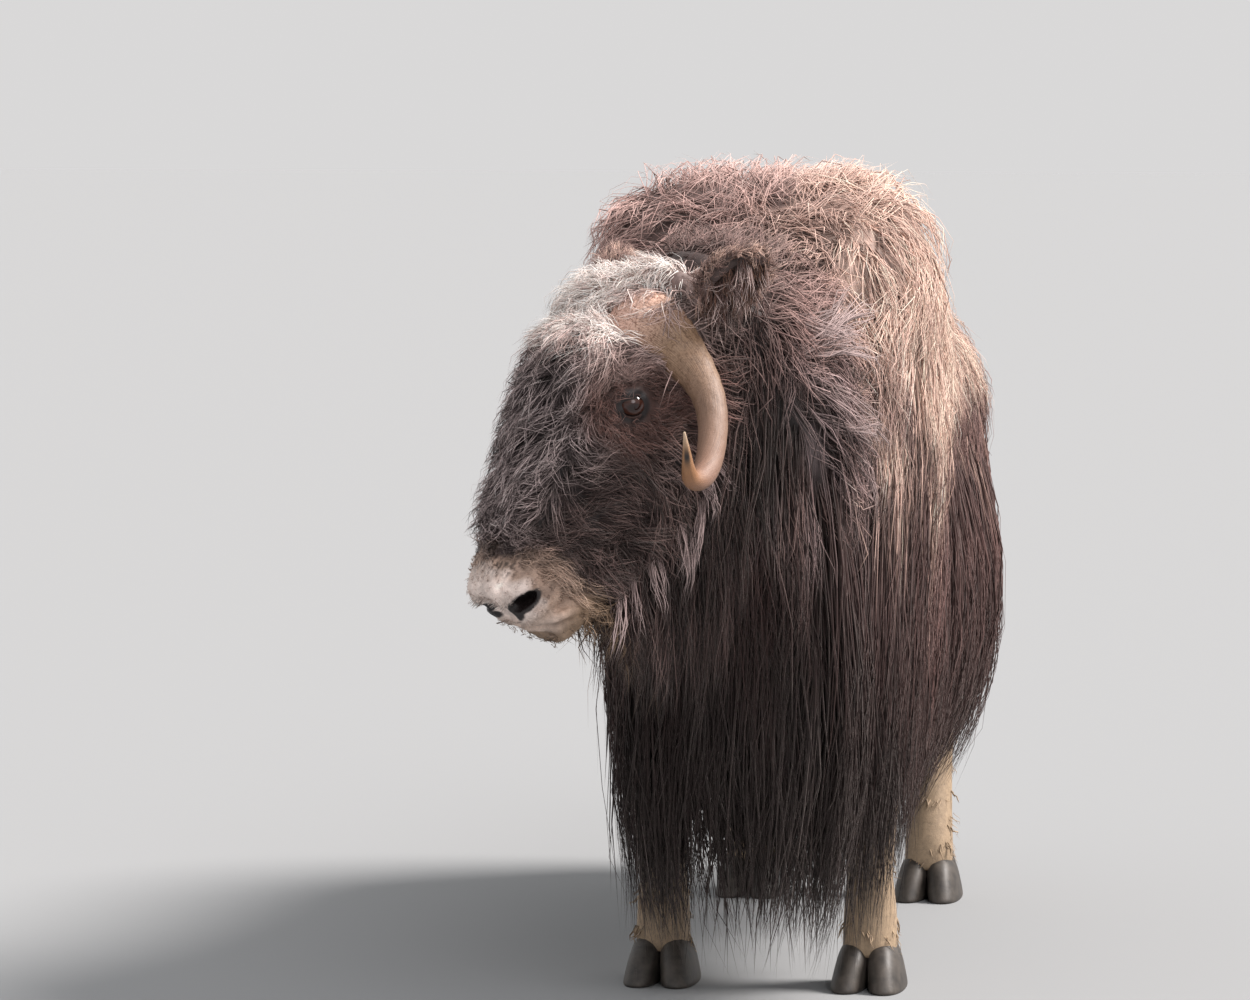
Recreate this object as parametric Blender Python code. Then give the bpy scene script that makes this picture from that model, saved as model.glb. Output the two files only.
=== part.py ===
"""A standing muskox, life size, with its head turned to its right and held low.

The animal faces -Y, its left side is +X and up is +Z. Every part of the body is a
form: a run of cross-sections, each drawn from a top point to a bottom point with a
half width. The long coat is built as flat, tapered locks rooted in the forms.
"""

import math

import bmesh
import bpy
import numpy as np

# Driving dimensions, in metres
HUMP_HEIGHT = 1.30
COAT_DEPTH = 0.036
SHOULDER_HALF_WIDTH = 0.258
BELLY_HALF_WIDTH = 0.262
RUMP_Y = 1.13
SKIRT_HEM = 0.21
CURTAIN_RADIUS = 0.205
CURTAIN_TURN = math.radians(72)
CHEST_Y = -0.070
CHEST_BULGE = 0.250
HAUNCH_Y = 0.945
HAUNCH_BULGE = 0.210
LEG_SPREAD = 0.165
FORELEG_Y = -0.02
HINDLEG_Y = 0.86
HOOF_HEIGHT = 0.062
EYE_RADIUS = 0.021
GAP = 0.0004
WELD = 0.00006

# The head's place and turn: its sizes are distances behind the nose tip, above it
# and to the left of the middle plane
NOSE_TIP = np.array((-0.326, -0.738, 0.688))
HEAD_TURN = math.radians(50)
HEAD_PITCH = math.radians(52)
HEAD_ROLL = math.radians(3)
EYE_PLACE = (0.338, 0.002, 0.122)

RANDOM_SEED = 11

LEFT = np.array((1.0, 0.0, 0.0))
REAR = np.array((0.0, 1.0, 0.0))
UP = np.array((0.0, 0.0, 1.0))


def dice(number):
    """The seeded source of chance for one node's locks."""
    return np.random.default_rng(RANDOM_SEED + number)


def unit(v):
    """The vectors at length one."""
    v = np.asarray(v, float)
    return v / np.maximum(np.linalg.norm(v, axis=-1, keepdims=True), 1e-12)


def head_axes():
    """The head's forward, dorsal and left directions."""
    facing = np.array((-math.sin(HEAD_TURN), -math.cos(HEAD_TURN), 0.0))
    forward = math.cos(HEAD_PITCH) * facing - math.sin(HEAD_PITCH) * UP
    dorsal = math.sin(HEAD_PITCH) * facing + math.cos(HEAD_PITCH) * UP
    left = np.cross(UP, facing)
    cos_roll, sin_roll = math.cos(HEAD_ROLL), math.sin(HEAD_ROLL)
    return (
        forward,
        cos_roll * dorsal - sin_roll * left,
        cos_roll * left + sin_roll * dorsal,
    )


HEAD_FORWARD, HEAD_DORSAL, HEAD_LEFT = head_axes()


def on_head(behind, above, leftward):
    """A point of the head, from its distances behind, above and left of the nose tip."""
    return (
        NOSE_TIP - behind * HEAD_FORWARD + above * HEAD_DORSAL + leftward * HEAD_LEFT
    )


class Form:
    """A body form: cross-sections between a top and a bottom point, smoothly joined.

    A row is (top, bottom, half width, fullness, side direction, waist). Fullness is
    the superellipse's power above the widest line, below which it is 2.4 at most, and
    waist is the share of the height above that line.
    """

    def __init__(self, rows):
        packed = [
            np.concatenate((top, bottom, (half, fullness, waist), side))
            for top, bottom, half, fullness, side, waist in rows
        ]
        self.rows = np.array(packed, float)

    def row(self, t):
        """The cross-sections at shares t of the form's length, by a Catmull-Rom curve."""
        rows = self.rows
        k = np.clip(t, 0, 1) * (len(rows) - 1)
        i = np.minimum(k.astype(int), len(rows) - 2)
        f = (k - i)[..., None]
        padded = np.vstack((2 * rows[0] - rows[1], rows, 2 * rows[-1] - rows[-2]))
        a, b, c, d = padded[i], padded[i + 1], padded[i + 2], padded[i + 3]
        return 0.5 * (
            2 * b
            + (c - a) * f
            + (2 * a - 5 * b + 4 * c - d) * f**2
            + (3 * b - a - 3 * c + d) * f**3
        )

    def point(self, t, angle):
        """The surface point at share t and at an angle from the top towards the side."""
        t, angle = np.broadcast_arrays(np.asarray(t, float), np.asarray(angle, float))
        r = self.row(t)
        top, bottom, side = r[..., 0:3], r[..., 3:6], unit(r[..., 9:12])
        half, fullness, waist = r[..., 6], r[..., 7], r[..., 8]
        centre = top + (bottom - top) * waist[..., None]
        c, s = np.cos(angle), np.sin(angle)
        fullness = np.where(c > 0, fullness, np.minimum(fullness, 2.4))
        reach = (np.abs(c) ** fullness + np.abs(s) ** fullness) ** (-1 / fullness)
        vertical = np.where((c > 0)[..., None], top - centre, centre - bottom)
        return (
            centre
            + (reach * c)[..., None] * vertical
            + (reach * s * half)[..., None] * side
        )

    def slopes(self, t, angle):
        """How the surface point moves with t and with the angle."""
        step = 1e-3
        along = self.point(t + step, angle) - self.point(t - step, angle)
        around = self.point(t, angle + step) - self.point(t, angle - step)
        return along / (2 * step), around / (2 * step)

    def normal(self, t, angle):
        """The outward direction at a surface point."""
        along, around = self.slopes(t, angle)
        n = unit(np.cross(along, around))
        r = self.row(np.asarray(t, float))
        centre = (r[..., 0:3] + r[..., 3:6]) / 2
        outward = np.sum(n * (self.point(t, angle) - centre), axis=-1, keepdims=True)
        return n * np.where(outward < 0, -1.0, 1.0)

    def solid(self, rings, around):
        """The closed mesh of the form, with a pole at each end."""
        t = np.linspace(0, 1, rings)
        angle = np.arange(around) * 2 * math.pi / around
        grid = self.point(t[:, None], angle[None, :])
        return closed_grid(grid)


def closed_grid(grid):
    """Vertices and faces of a tube of rings, each end closed by a fan to its middle."""
    rings, around = grid.shape[:2]
    points = np.vstack((grid.reshape(-1, 3), grid[0].mean(0), grid[-1].mean(0)))
    i, j = np.meshgrid(np.arange(rings - 1), np.arange(around), indexing="ij")
    k = (j + 1) % around
    quads = np.stack(
        (
            i * around + j,
            i * around + k,
            (i + 1) * around + k,
            (i + 1) * around + j,
        ),
        -1,
    ).reshape(-1, 4)
    ring = np.arange(around)
    after = (ring + 1) % around
    first, last = rings * around, rings * around + 1
    tail = (rings - 1) * around
    caps = [(first, b, a) for a, b in zip(ring, after)]
    caps += [(last, tail + a, tail + b) for a, b in zip(ring, after)]
    return outward(points, quads.tolist() + caps)


def outward(points, faces):
    """The same mesh in triangles, turned outwards. Each four-sided face is split in
    one fixed way, so that a grown copy keeps the same creases."""
    triangles = np.array(
        [(f[0], f[m], f[m + 1]) for f in faces for m in range(1, len(f) - 1)]
    )
    a, b, c = (points[triangles[:, n]] for n in range(3))
    if np.sum(a * np.cross(b, c)) < 0:
        triangles = triangles[:, ::-1]
    return points, triangles


def swept(path, halves, across, sides):
    """A closed tube: ellipses of two half sizes carried along a path.

    The first half size lies along the across direction, squared to the path.
    """
    path = np.asarray(path, float)
    tangent = unit(np.gradient(path, axis=0))
    across = np.asarray(across, float) + np.zeros_like(path)
    side = unit(across - np.sum(across * tangent, -1, keepdims=True) * tangent)
    other = np.cross(tangent, side)
    angle = np.arange(sides) * 2 * math.pi / sides
    halves = np.asarray(halves, float)
    grid = (
        path[:, None, :]
        + np.cos(angle)[None, :, None] * (side * halves[:, :1])[:, None, :]
        + np.sin(angle)[None, :, None] * (other * halves[:, 1:])[:, None, :]
    )
    return closed_grid(grid)


def lock(path, out, width, thickness):
    """One lock of hair: a flat blade along a path, drawn to a point.

    It is full near its root and thins towards the tip. Its cross-section is a low
    triangle with the ridge outwards.
    """
    path = np.asarray(path, float)
    tangent = unit(np.gradient(path, axis=0))
    out = unit(np.asarray(out, float) + np.zeros_like(path))
    across = unit(np.cross(tangent, out))
    out = np.cross(across, tangent)
    steps = len(path) - 1
    s = np.arange(steps) / steps
    w = (width / 2 * (1 - s) ** 0.6)[:, None]
    h = (thickness / 2 * (1 - 0.55 * s))[:, None]
    body, tip = path[:-1], path[-1:]
    a, o = across[:-1], out[:-1]
    grid = np.stack((body + a * w - o * h, body + o * h, body - a * w - o * h), 1)
    points = np.vstack((grid.reshape(-1, 3), tip))
    faces = [(2, 1, 0)]
    for i in range(steps - 1):
        for j in range(3):
            k = (j + 1) % 3
            faces.append((3 * i + j, 3 * i + k, 3 * i + 3 + k, 3 * i + 3 + j))
    last = 3 * (steps - 1)
    faces += [(last + j, last + (j + 1) % 3, 3 * steps) for j in range(3)]
    return outward(points, faces)


def lying_lock(form, t, angle, flow, size, lift, sink=0.018, steps=3):
    """A lock that lies along a form: it follows the surface from its sunk root, in the
    direction of the flow, and rises to the given lift at its tip. Size is its length,
    width and thickness."""
    length, width, thickness = size
    along, around = form.slopes(np.array(t), np.array(angle))
    basis = np.stack((along, around), 1)
    step_t, step_angle = np.linalg.lstsq(basis, unit(flow) * length, rcond=None)[0]
    s = np.linspace(0, 1, steps + 1)
    ts, angles = t + step_t * s, angle + step_angle * s
    ts = np.clip(ts, 0.004, 0.996)
    normal = form.normal(ts, angles)
    height = -sink + (lift + sink) * np.sin(0.66 * math.pi * s)
    path = form.point(ts, angles) + normal * height[:, None]
    return lock(path, normal, width, thickness)


def hanging_lock(root, out, drop, size, bulge, swing, steps=4):
    """A lock that hangs: from its root it bulges outwards, then falls by the drop and
    sways to the side of its swing and back. Size is its width and thickness."""
    s = np.linspace(0, 1, steps + 1)[:, None]
    out = unit(out)
    path = (
        np.asarray(root)
        + out * bulge * np.sin(s * 2.4)
        - UP * drop * s
        + np.asarray(swing) * (s**2 + 0.5 * np.sin(s * 2 * math.pi))
    )
    return lock(path, out, *size)


def new_mesh(name, points, triangles):
    """A Blender mesh of the points and triangles."""
    mesh = bpy.data.meshes.new(name)
    mesh.from_pydata(points.tolist(), [], triangles.tolist())
    mesh.update()
    return mesh


def new_object(name, solid):
    """A Blender object that holds a solid."""
    obj = bpy.data.objects.new(name, new_mesh(name, *solid))
    bpy.context.scene.collection.objects.link(obj)
    return obj


def bake(obj):
    """Applies the object's modifiers to its mesh."""
    graph = bpy.context.evaluated_depsgraph_get()
    mesh = bpy.data.meshes.new_from_object(obj.evaluated_get(graph))
    old = obj.data
    obj.modifiers.clear()
    obj.data = mesh
    bpy.data.meshes.remove(old)


def points_of(obj):
    """An object's vertices as an array."""
    points = np.zeros(len(obj.data.vertices) * 3)
    obj.data.vertices.foreach_get("co", points)
    return points.reshape(-1, 3)


def without_slivers(obj, within):
    """The object's points and triangles, with close points welded and the slivers
    thinner than that dissolved."""
    grid = bmesh.new()
    grid.from_mesh(obj.data)
    bmesh.ops.triangulate(grid, faces=grid.faces)
    if within:
        bmesh.ops.dissolve_degenerate(grid, edges=grid.edges, dist=within)
        bmesh.ops.triangulate(grid, faces=grid.faces)
    grid.verts.index_update()
    points = np.array([v.co[:] for v in grid.verts])
    index = np.arange(len(points))
    if within:
        found = bmesh.ops.find_doubles(grid, verts=grid.verts, dist=within)
        for vert, target in found["targetmap"].items():
            index[vert.index] = target.index
    triangles = index[index][[[v.index for v in f.verts] for f in grid.faces]]
    grid.free()
    return points, triangles


def surfaces(triangles):
    """A label for each triangle, the same across every edge that just two of them
    share, and whether all edges are such ones, run once each way."""
    ends = np.concatenate([triangles[:, pair] for pair in ([0, 1], [1, 2], [2, 0])])
    _, edge, count = np.unique(
        np.sort(ends, 1), axis=0, return_inverse=True, return_counts=True
    )
    edge = edge.reshape(-1)
    onward = np.bincount(edge, ends[:, 0] < ends[:, 1], len(count))
    owner = np.tile(np.arange(len(triangles)), 3)
    order = np.argsort(edge, kind="stable")
    one, other = owner[order[count[edge[order]] == 2].reshape(-1, 2)].T
    label = np.arange(len(triangles))
    while True:
        low = np.minimum(label[one], label[other])
        fresh = label.copy()
        np.minimum.at(fresh, one, low)
        np.minimum.at(fresh, other, low)
        fresh = fresh[fresh]
        if (fresh == label).all():
            return label, bool((count == 2).all() and (onward == 1).all())
        label = fresh


def largest(points, triangles):
    """The triangles of the closed surface of the largest volume, less flat flaps, and
    whether it is closed."""
    a, b, c = triangles.T
    triangles = triangles[(a != b) & (b != c) & (a != c)]
    _, twin, count = np.unique(
        np.sort(triangles, 1), axis=0, return_inverse=True, return_counts=True
    )
    triangles = triangles[count[twin.reshape(-1)] == 1]
    label, _ = surfaces(triangles)
    p, q, r = (points[triangles[:, n]] for n in range(3))
    volume = np.bincount(label, np.sum(p * np.cross(q, r), 1), len(triangles))
    kept = triangles[label == volume.argmax()]
    return kept, surfaces(kept)[1]


def keep_largest(obj):
    """Keeps only the object's largest closed surface, tidied where it stays closed."""
    for within in (WELD, WELD / 2, WELD / 4, WELD / 8, WELD / 16, 0.0):
        points, triangles = without_slivers(obj, within)
        kept, closed = largest(points, triangles)
        if closed:
            break
    used, inverse = np.unique(kept, return_inverse=True)
    old = obj.data
    obj.data = new_mesh(obj.name, points[used], inverse.reshape(-1, 3))
    bpy.data.meshes.remove(old)


def grown(solid, by):
    """The solid with each of its faces moved outwards by the same distance."""
    points, triangles = solid
    a, b, c = (points[triangles[:, n]] for n in range(3))
    normals = unit(np.cross(b - a, c - a))
    moved = points.copy()
    for vertex in range(len(points)):
        around = normals[(triangles == vertex).any(1)]
        step = np.linalg.lstsq(around, np.full(len(around), by), rcond=0.05)[0]
        moved[vertex] += step * min(1.0, 8 * by / max(np.linalg.norm(step), 1e-12))
    return moved, triangles


def combine(obj, solids, operation):
    """Adds the solids to the object, or takes them away. MANIFOLD is used because
    EXACT takes minutes on this many crossing locks."""
    group = bpy.data.collections.new(obj.name + "_pieces")
    bpy.context.scene.collection.children.link(group)
    for n, solid in enumerate(solids):
        piece = new_object(f"{obj.name}_piece_{n}", solid)
        bpy.context.scene.collection.objects.unlink(piece)
        group.objects.link(piece)
    join = obj.modifiers.new("join", "BOOLEAN")
    join.operation = operation
    join.operand_type = "COLLECTION"
    join.collection = group
    join.solver = "MANIFOLD"
    bake(obj)
    for piece in list(group.objects):
        bpy.data.objects.remove(piece)
    bpy.data.collections.remove(group)
    keep_largest(obj)


class Part:
    """One node: the closed solids that it is made of, and the object that joins them."""

    def __init__(self, name, solids, openings=()):
        self.solids = solids
        self.obj = new_object(name, solids[0])
        if len(solids) > 1:
            combine(self.obj, solids[1:], "UNION")
        if openings:
            combine(self.obj, openings, "DIFFERENCE")

    def make_room_for(self, others):
        """Cuts the node back to a small gap from others that are already in place."""
        taken = [grown(solid, GAP) for other in others for solid in other.solids]
        combine(self.obj, taken, "DIFFERENCE")


def material(name, colour, roughness):
    """A plain finish for one kind of surface."""
    mat = bpy.data.materials.new(name)
    mat.use_nodes = True
    shader = mat.node_tree.nodes["Principled BSDF"]
    shader.inputs["Base Color"].default_value = (*colour, 1)
    shader.inputs["Roughness"].default_value = roughness
    shader.inputs["Metallic"].default_value = 0.0
    return mat


def body_row(y, top, bottom, half, fullness=2.5, waist=0.45):
    """A cross-section of the trunk, square to the length of the body."""
    return ((0, y, top), (0, y, bottom), half, fullness, LEFT, waist)


def torso_form():
    """The trunk under its coat: a high hump over the shoulders, a long back."""
    crest = HUMP_HEIGHT - COAT_DEPTH
    return Form(
        (
            body_row(-0.33, crest - 0.22, 0.62, 0.10),
            body_row(-0.27, crest - 0.10, 0.55, 0.190, 3.2),
            body_row(-0.14, crest - 0.02, 0.48, 0.238, 4.5),
            body_row(0.03, crest, 0.45, SHOULDER_HALF_WIDTH, 4.6),
            body_row(0.22, crest - 0.020, 0.44, SHOULDER_HALF_WIDTH - 0.004, 2.8),
            body_row(0.45, crest - 0.080, 0.44, BELLY_HALF_WIDTH - 0.005, 2.2),
            body_row(0.70, crest - 0.125, 0.47, BELLY_HALF_WIDTH, 2.05),
            body_row(0.90, crest - 0.165, 0.52, BELLY_HALF_WIDTH - 0.02, 2.1),
            body_row(1.04, crest - 0.24, 0.57, 0.195, 2.2),
            body_row(RUMP_Y - 0.01, crest - 0.36, 0.66, 0.11, 2.2),
        )
    )


def neck_form():
    """The short, deep neck, turning to the right as it runs to the back of the head."""
    quarter_turned = unit(2 * LEFT + HEAD_LEFT)
    half_turned = unit(LEFT + HEAD_LEFT)
    poll, throat = on_head(0.60, 0.02, 0.0), on_head(0.46, -0.215, 0.0)
    front_top, front_bottom = on_head(0.52, 0.0, 0.0), on_head(0.42, -0.15, 0.0)
    return Form(
        (
            ((0.00, -0.22, 1.110), (0.00, -0.26, 0.66), 0.140, 2.4, LEFT, 0.5),
            ((-0.01, -0.26, 1.165), (0.00, -0.32, 0.62), 0.172, 2.4, LEFT, 0.5),
            ((-0.02, -0.34, 1.165), (0.00, -0.37, 0.66), 0.172)
            + (2.3, quarter_turned, 0.5),
            ((-0.04, -0.43, 1.160), (0.01, -0.41, 0.79), 0.156, 2.3, half_turned, 0.48),
            (poll, throat, 0.128, 2.2, HEAD_LEFT, 0.48),
            (front_top, front_bottom, 0.075, 2.2, HEAD_LEFT, 0.5),
        )
    )


def head_row(top, bottom, half, fullness=2.3, waist=0.5):
    """A cross-section of the head: (behind, above) of its top and bottom points."""
    return (
        on_head(*top, 0.0),
        on_head(*bottom, 0.0),
        half,
        fullness,
        HEAD_LEFT,
        waist,
    )


def skull_form():
    """The head above the mouth: blunt muzzle, long bridge, wide forehead."""
    return Form(
        (
            head_row((0.010, -0.030), (0.010, -0.075), 0.022),
            head_row((0.002, -0.008), (0.004, -0.094), 0.052, 2.6),
            head_row((0.030, 0.006), (0.034, -0.112), 0.071, 2.8),
            head_row((0.085, 0.022), (0.090, -0.122), 0.078, 2.6),
            head_row((0.150, 0.042), (0.155, -0.130), 0.084, 2.4),
            head_row((0.225, 0.068), (0.230, -0.150), 0.100),
            head_row((0.300, 0.094), (0.310, -0.168), 0.118),
            head_row((0.365, 0.104), (0.385, -0.172), 0.124),
            head_row((0.430, 0.072), (0.450, -0.160), 0.126),
            head_row((0.505, 0.048), (0.520, -0.120), 0.118),
            head_row((0.560, 0.000), (0.560, -0.080), 0.080),
        )
    )


def jaw_form():
    """The lower jaw, from the chin to the deep angle below the ear."""
    return Form(
        (
            head_row((0.028, -0.108), (0.022, -0.132), 0.032),
            head_row((0.022, -0.100), (0.018, -0.150), 0.056, 2.6),
            head_row((0.070, -0.095), (0.076, -0.166), 0.067, 2.6),
            head_row((0.150, -0.085), (0.160, -0.178), 0.070),
            head_row((0.250, -0.080), (0.260, -0.196), 0.080),
            head_row((0.350, -0.070), (0.370, -0.212), 0.088),
            head_row((0.430, -0.060), (0.455, -0.190), 0.080),
            head_row((0.480, -0.060), (0.490, -0.130), 0.050),
        )
    )


def ball(centre, radii, axes, rings=8, around=12):
    """An ellipsoid with its three radii along the three axes."""
    polar = np.linspace(0, math.pi, rings + 2)[1:-1, None, None]
    turn = np.linspace(0, 2 * math.pi, around, endpoint=False)[None, :, None]
    a, b, c = (np.asarray(v) * r for v, r in zip(axes, radii))
    rim = np.cos(turn) * b + np.sin(turn) * c
    points, faces = closed_grid(centre + np.cos(polar) * a + np.sin(polar) * rim)
    points[-2:] = centre + np.outer((1, -1), a)
    return outward(points, faces)


HEAD_SIDES = 16
HORN_SIDES = 10
SIDES_OF_BODY = (("left", 1), ("right", -1))


def mouth_groove():
    """The line of the mouth: a thin bent tube round the muzzle from corner to corner."""
    turn = np.linspace(-1, 1, 11)
    leftward = 0.069 * np.sin(turn * math.pi / 2)
    behind = 0.004 + 0.056 * np.abs(turn) ** 2.2
    above = -0.0950 - 0.042 * np.abs(turn) ** 1.9
    path = np.array([on_head(s, b, l) for s, b, l in zip(behind, above, leftward)])
    halves = np.full((len(path), 2), 0.0045)
    return swept(path, halves, HEAD_DORSAL, 5)


def nostril(side):
    """The comma-shaped opening of a nostril, as a cutter."""
    hole = on_head(0.018, -0.048, 0.059 * side)
    outwards = unit(HEAD_FORWARD * 0.55 + HEAD_LEFT * side * 0.83)
    slant = HEAD_LEFT * side * 0.50 - HEAD_FORWARD * 0.83 + HEAD_DORSAL * 0.12
    slant = unit(slant - np.dot(slant, outwards) * outwards)
    axes = (outwards, slant, np.cross(outwards, slant))
    return ball(hole, (0.020, 0.023, 0.012), axes, 4, 8)


def eye_frame(side):
    """The eye's middle and its outward, forward and upward directions."""
    behind, above, leftward = EYE_PLACE
    centre = on_head(behind, above, (leftward - EYE_RADIUS * 0.55) * side)
    out = unit(HEAD_LEFT * side + HEAD_FORWARD * 0.32 + HEAD_DORSAL * 0.12)
    upward = unit(HEAD_DORSAL * 0.8 - HEAD_FORWARD * 0.6)
    upward = unit(upward - np.dot(upward, out) * out)
    return centre, out, np.cross(upward, out), upward


def lids(side):
    """The brow's bulge round the eye, and the almond opening between the lids."""
    centre, out, ahead, upward = eye_frame(side)
    orbit = ball(
        centre - out * 0.020, (0.036, 0.050, 0.042), (out, ahead, upward), 5, 10
    )
    rims = ball(
        centre,
        (EYE_RADIUS + 0.005, EYE_RADIUS + 0.009, EYE_RADIUS + 0.006),
        (out, ahead, upward),
        5,
        12,
    )
    opening = ball(
        centre + out * EYE_RADIUS * 1.05,
        (EYE_RADIUS * 0.70, EYE_RADIUS * 0.98, EYE_RADIUS * 0.66),
        (out, ahead, upward),
        5,
        12,
    )
    return orbit, rims, opening


def horn_solid(side):
    """A horn: a broad, flat boss on the forehead that sweeps down past the cheek and
    hooks forwards and up to its tip, which the left horn carries higher."""
    curl, tip = (0.261, -0.042, 0.278), (0.272, -0.018, 0.281)
    if side > 0:
        curl, tip = (0.276, -0.040, 0.289), (0.302, -0.006, 0.300)
    stations = np.array(
        (
            (0.455, 0.040, 0.006, 0.034, 0.016),
            (0.455, 0.046, 0.022, 0.054, 0.029),
            (0.456, 0.038, 0.055, 0.060, 0.034),
            (0.450, 0.016, 0.095, 0.054, 0.032),
            (0.430, -0.018, 0.135, 0.041, 0.029),
            (0.398, -0.048, 0.175, 0.031, 0.026),
            (0.352, -0.076, 0.212, 0.0265, 0.024),
            (0.304, -0.093, 0.240, 0.0240, 0.022),
            (0.272, -0.090, 0.260, 0.0205, 0.020),
            (0.257, -0.068, 0.272, 0.0155, 0.0155),
            (*curl, 0.0105, 0.0105),
            (*tip, 0.0015, 0.0015),
        )
    )
    fine = np.linspace(0, len(stations) - 1, 18)
    whole = np.arange(len(stations))
    smooth = np.stack([np.interp(fine, whole, c) for c in stations.T], 1)
    smooth[1:-1] = (smooth[:-2] + 2 * smooth[1:-1] + smooth[2:]) / 4
    path = np.array([on_head(s, b, l * side) for s, b, l in smooth[:, :3]])
    return swept(path, smooth[:, 3:], HEAD_FORWARD, HORN_SIDES)


def ear_solids(side):
    """An ear: a short, rounded leaf held out sideways and back, and the hollow of its
    cup, which faces outwards and down."""
    root = on_head(0.520, -0.012, 0.095 * side)
    tip_way = unit(HEAD_LEFT * side * 0.72 - HEAD_FORWARD * 0.50 + HEAD_DORSAL * 0.12)
    cup_way = unit(HEAD_FORWARD * 0.55 + HEAD_LEFT * side * 0.55 - HEAD_DORSAL * 0.25)
    cup_way = unit(cup_way - np.dot(cup_way, tip_way) * tip_way)
    across = np.cross(tip_way, cup_way)
    length = 0.150
    shares = (0.0, 0.2, 0.45, 0.7, 0.9, 1.0)
    widths = (0.022, 0.030, 0.040, 0.038, 0.024, 0.006)
    depths = (0.020, 0.024, 0.024, 0.018, 0.011, 0.004)
    rows, cup_rows = [], []
    for share, width, depth in zip(shares, widths, depths):
        middle = root + tip_way * length * share
        rows.append(
            (
                middle + cup_way * depth,
                middle - cup_way * depth,
                width,
                2.0,
                across,
                0.55,
            )
        )
        if 0.2 <= share <= 0.9:
            inner = middle + cup_way * (depth + 0.003)
            cup_rows.append(
                (
                    inner + cup_way * 0.02,
                    inner - cup_way * depth * 1.35,
                    width * 0.74,
                    2.0,
                    across,
                    0.5,
                )
            )
    return Form(rows).solid(6, 10), Form(cup_rows).solid(4, 8)


def leg_rows(side, y, rows):
    """A leg from rows of (height, front, back, half width), with y as its middle."""
    x = LEG_SPREAD * side
    return Form(
        [
            ((x, y + front, z), (x, y + back, z), half, 2.2, LEFT, 0.5)
            for z, front, back, half in rows
        ]
    )


def foreleg(side):
    """A foreleg: thick forearm, knee, slim cannon bone and fetlock."""
    return leg_rows(
        side,
        FORELEG_Y,
        (
            (0.66, -0.07, 0.09, 0.060),
            (0.56, -0.09, 0.09, 0.074),
            (0.44, -0.075, 0.065, 0.062),
            (0.33, -0.060, 0.045, 0.050),
            (0.28, -0.052, 0.035, 0.045),
            (0.19, -0.042, 0.032, 0.036),
            (0.125, -0.046, 0.040, 0.042),
            (0.090, -0.050, 0.036, 0.043),
            (HOOF_HEIGHT + GAP, -0.056, 0.036, 0.047),
        ),
    )


def hindleg(side):
    """A hind leg: heavy thigh, angled hock and slim cannon bone."""
    return leg_rows(
        side * 0.95,
        HINDLEG_Y,
        (
            (0.74, -0.15, 0.07, 0.070),
            (0.62, -0.15, 0.11, 0.080),
            (0.50, -0.10, 0.115, 0.066),
            (0.39, -0.020, 0.120, 0.048),
            (0.34, 0.005, 0.112, 0.042),
            (0.24, 0.000, 0.076, 0.036),
            (0.135, -0.040, 0.046, 0.040),
            (0.095, -0.052, 0.034, 0.042),
            (HOOF_HEIGHT + GAP, -0.058, 0.032, 0.045),
        ),
    )


def hoof(name, x, y):
    """A broad cloven hoof, flat below, its two toes parted at the front."""
    form = Form(
        (
            ((x, y - 0.058, HOOF_HEIGHT), (x, y + 0.036, HOOF_HEIGHT), 0.047)
            + (2.3, LEFT, 0.5),
            ((x, y - 0.076, 0.040), (x, y + 0.044, 0.040), 0.055, 2.3, LEFT, 0.5),
            ((x, y - 0.092, 0.014), (x, y + 0.048, 0.014), 0.062, 2.3, LEFT, 0.5),
            ((x, y - 0.096, 0.000), (x, y + 0.046, 0.000), 0.062, 2.3, LEFT, 0.5),
        )
    )
    cleft = Form(
        (
            ((x, y - 0.14, 0.10), (x, y - 0.14, -0.02), 0.007, 4, LEFT, 0.5),
            ((x, y - 0.06, 0.075), (x, y - 0.06, -0.02), 0.004, 4, LEFT, 0.5),
            ((x, y + 0.020, 0.045), (x, y + 0.020, -0.02), 0.002, 4, LEFT, 0.5),
        )
    )
    return Part(name, [form.solid(4, 14)], [cleft.solid(3, 8)])


def back_locks(torso, rng):
    """The coat of the hump, saddle and sides: locks in staggered rows that lie back
    and down, short and upright on the hump, longer towards the rump."""
    locks = []
    rows, across = 8, 5
    for row in range(rows):
        t = 0.12 + 0.78 * row / (rows - 1)
        reach = math.radians(98 - 18 * t)
        for n in range(across):
            share = 2 * (n + 0.25 + 0.5 * (row % 2)) / across - 1
            angle = reach * share + rng.normal(0, 0.03)
            hump = math.exp(-(((t - 0.33) / 0.16) ** 2))
            length = 0.24 + 0.03 * rng.random() - 0.05 * hump
            down = abs(math.sin(angle))
            flow = REAR + LEFT * 0.25 * rng.normal() - UP * 1.1 * down
            size = (length, 0.165 + 0.03 * rng.random(), 0.026)
            lift = COAT_DEPTH * (0.75 + 0.25 * rng.random())
            locks.append(lying_lock(torso, t, angle, flow, size, lift))
    return locks


def skirt_form(side):
    """The core of one side's skirt: a curtain from the flank, above the hem's half."""
    rows = []
    for y, half, top in (
        (-0.20, 0.165, 0.80),
        (-0.10, 0.195, 0.84),
        (0.10, 0.230, 0.86),
        (0.35, 0.252, 0.86),
        (0.60, 0.262, 0.86),
        (0.82, 0.250, 0.86),
        (0.96, 0.215, 0.86),
        (1.02, 0.185, 0.84),
    ):
        thick = 0.012 if y in (-0.20, 1.02) else 0.024
        x = half * side
        rows.append(((x, y, top), (x, y, 0.50), thick, 2.6, LEFT, 0.5))
    return Form(rows)


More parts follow.
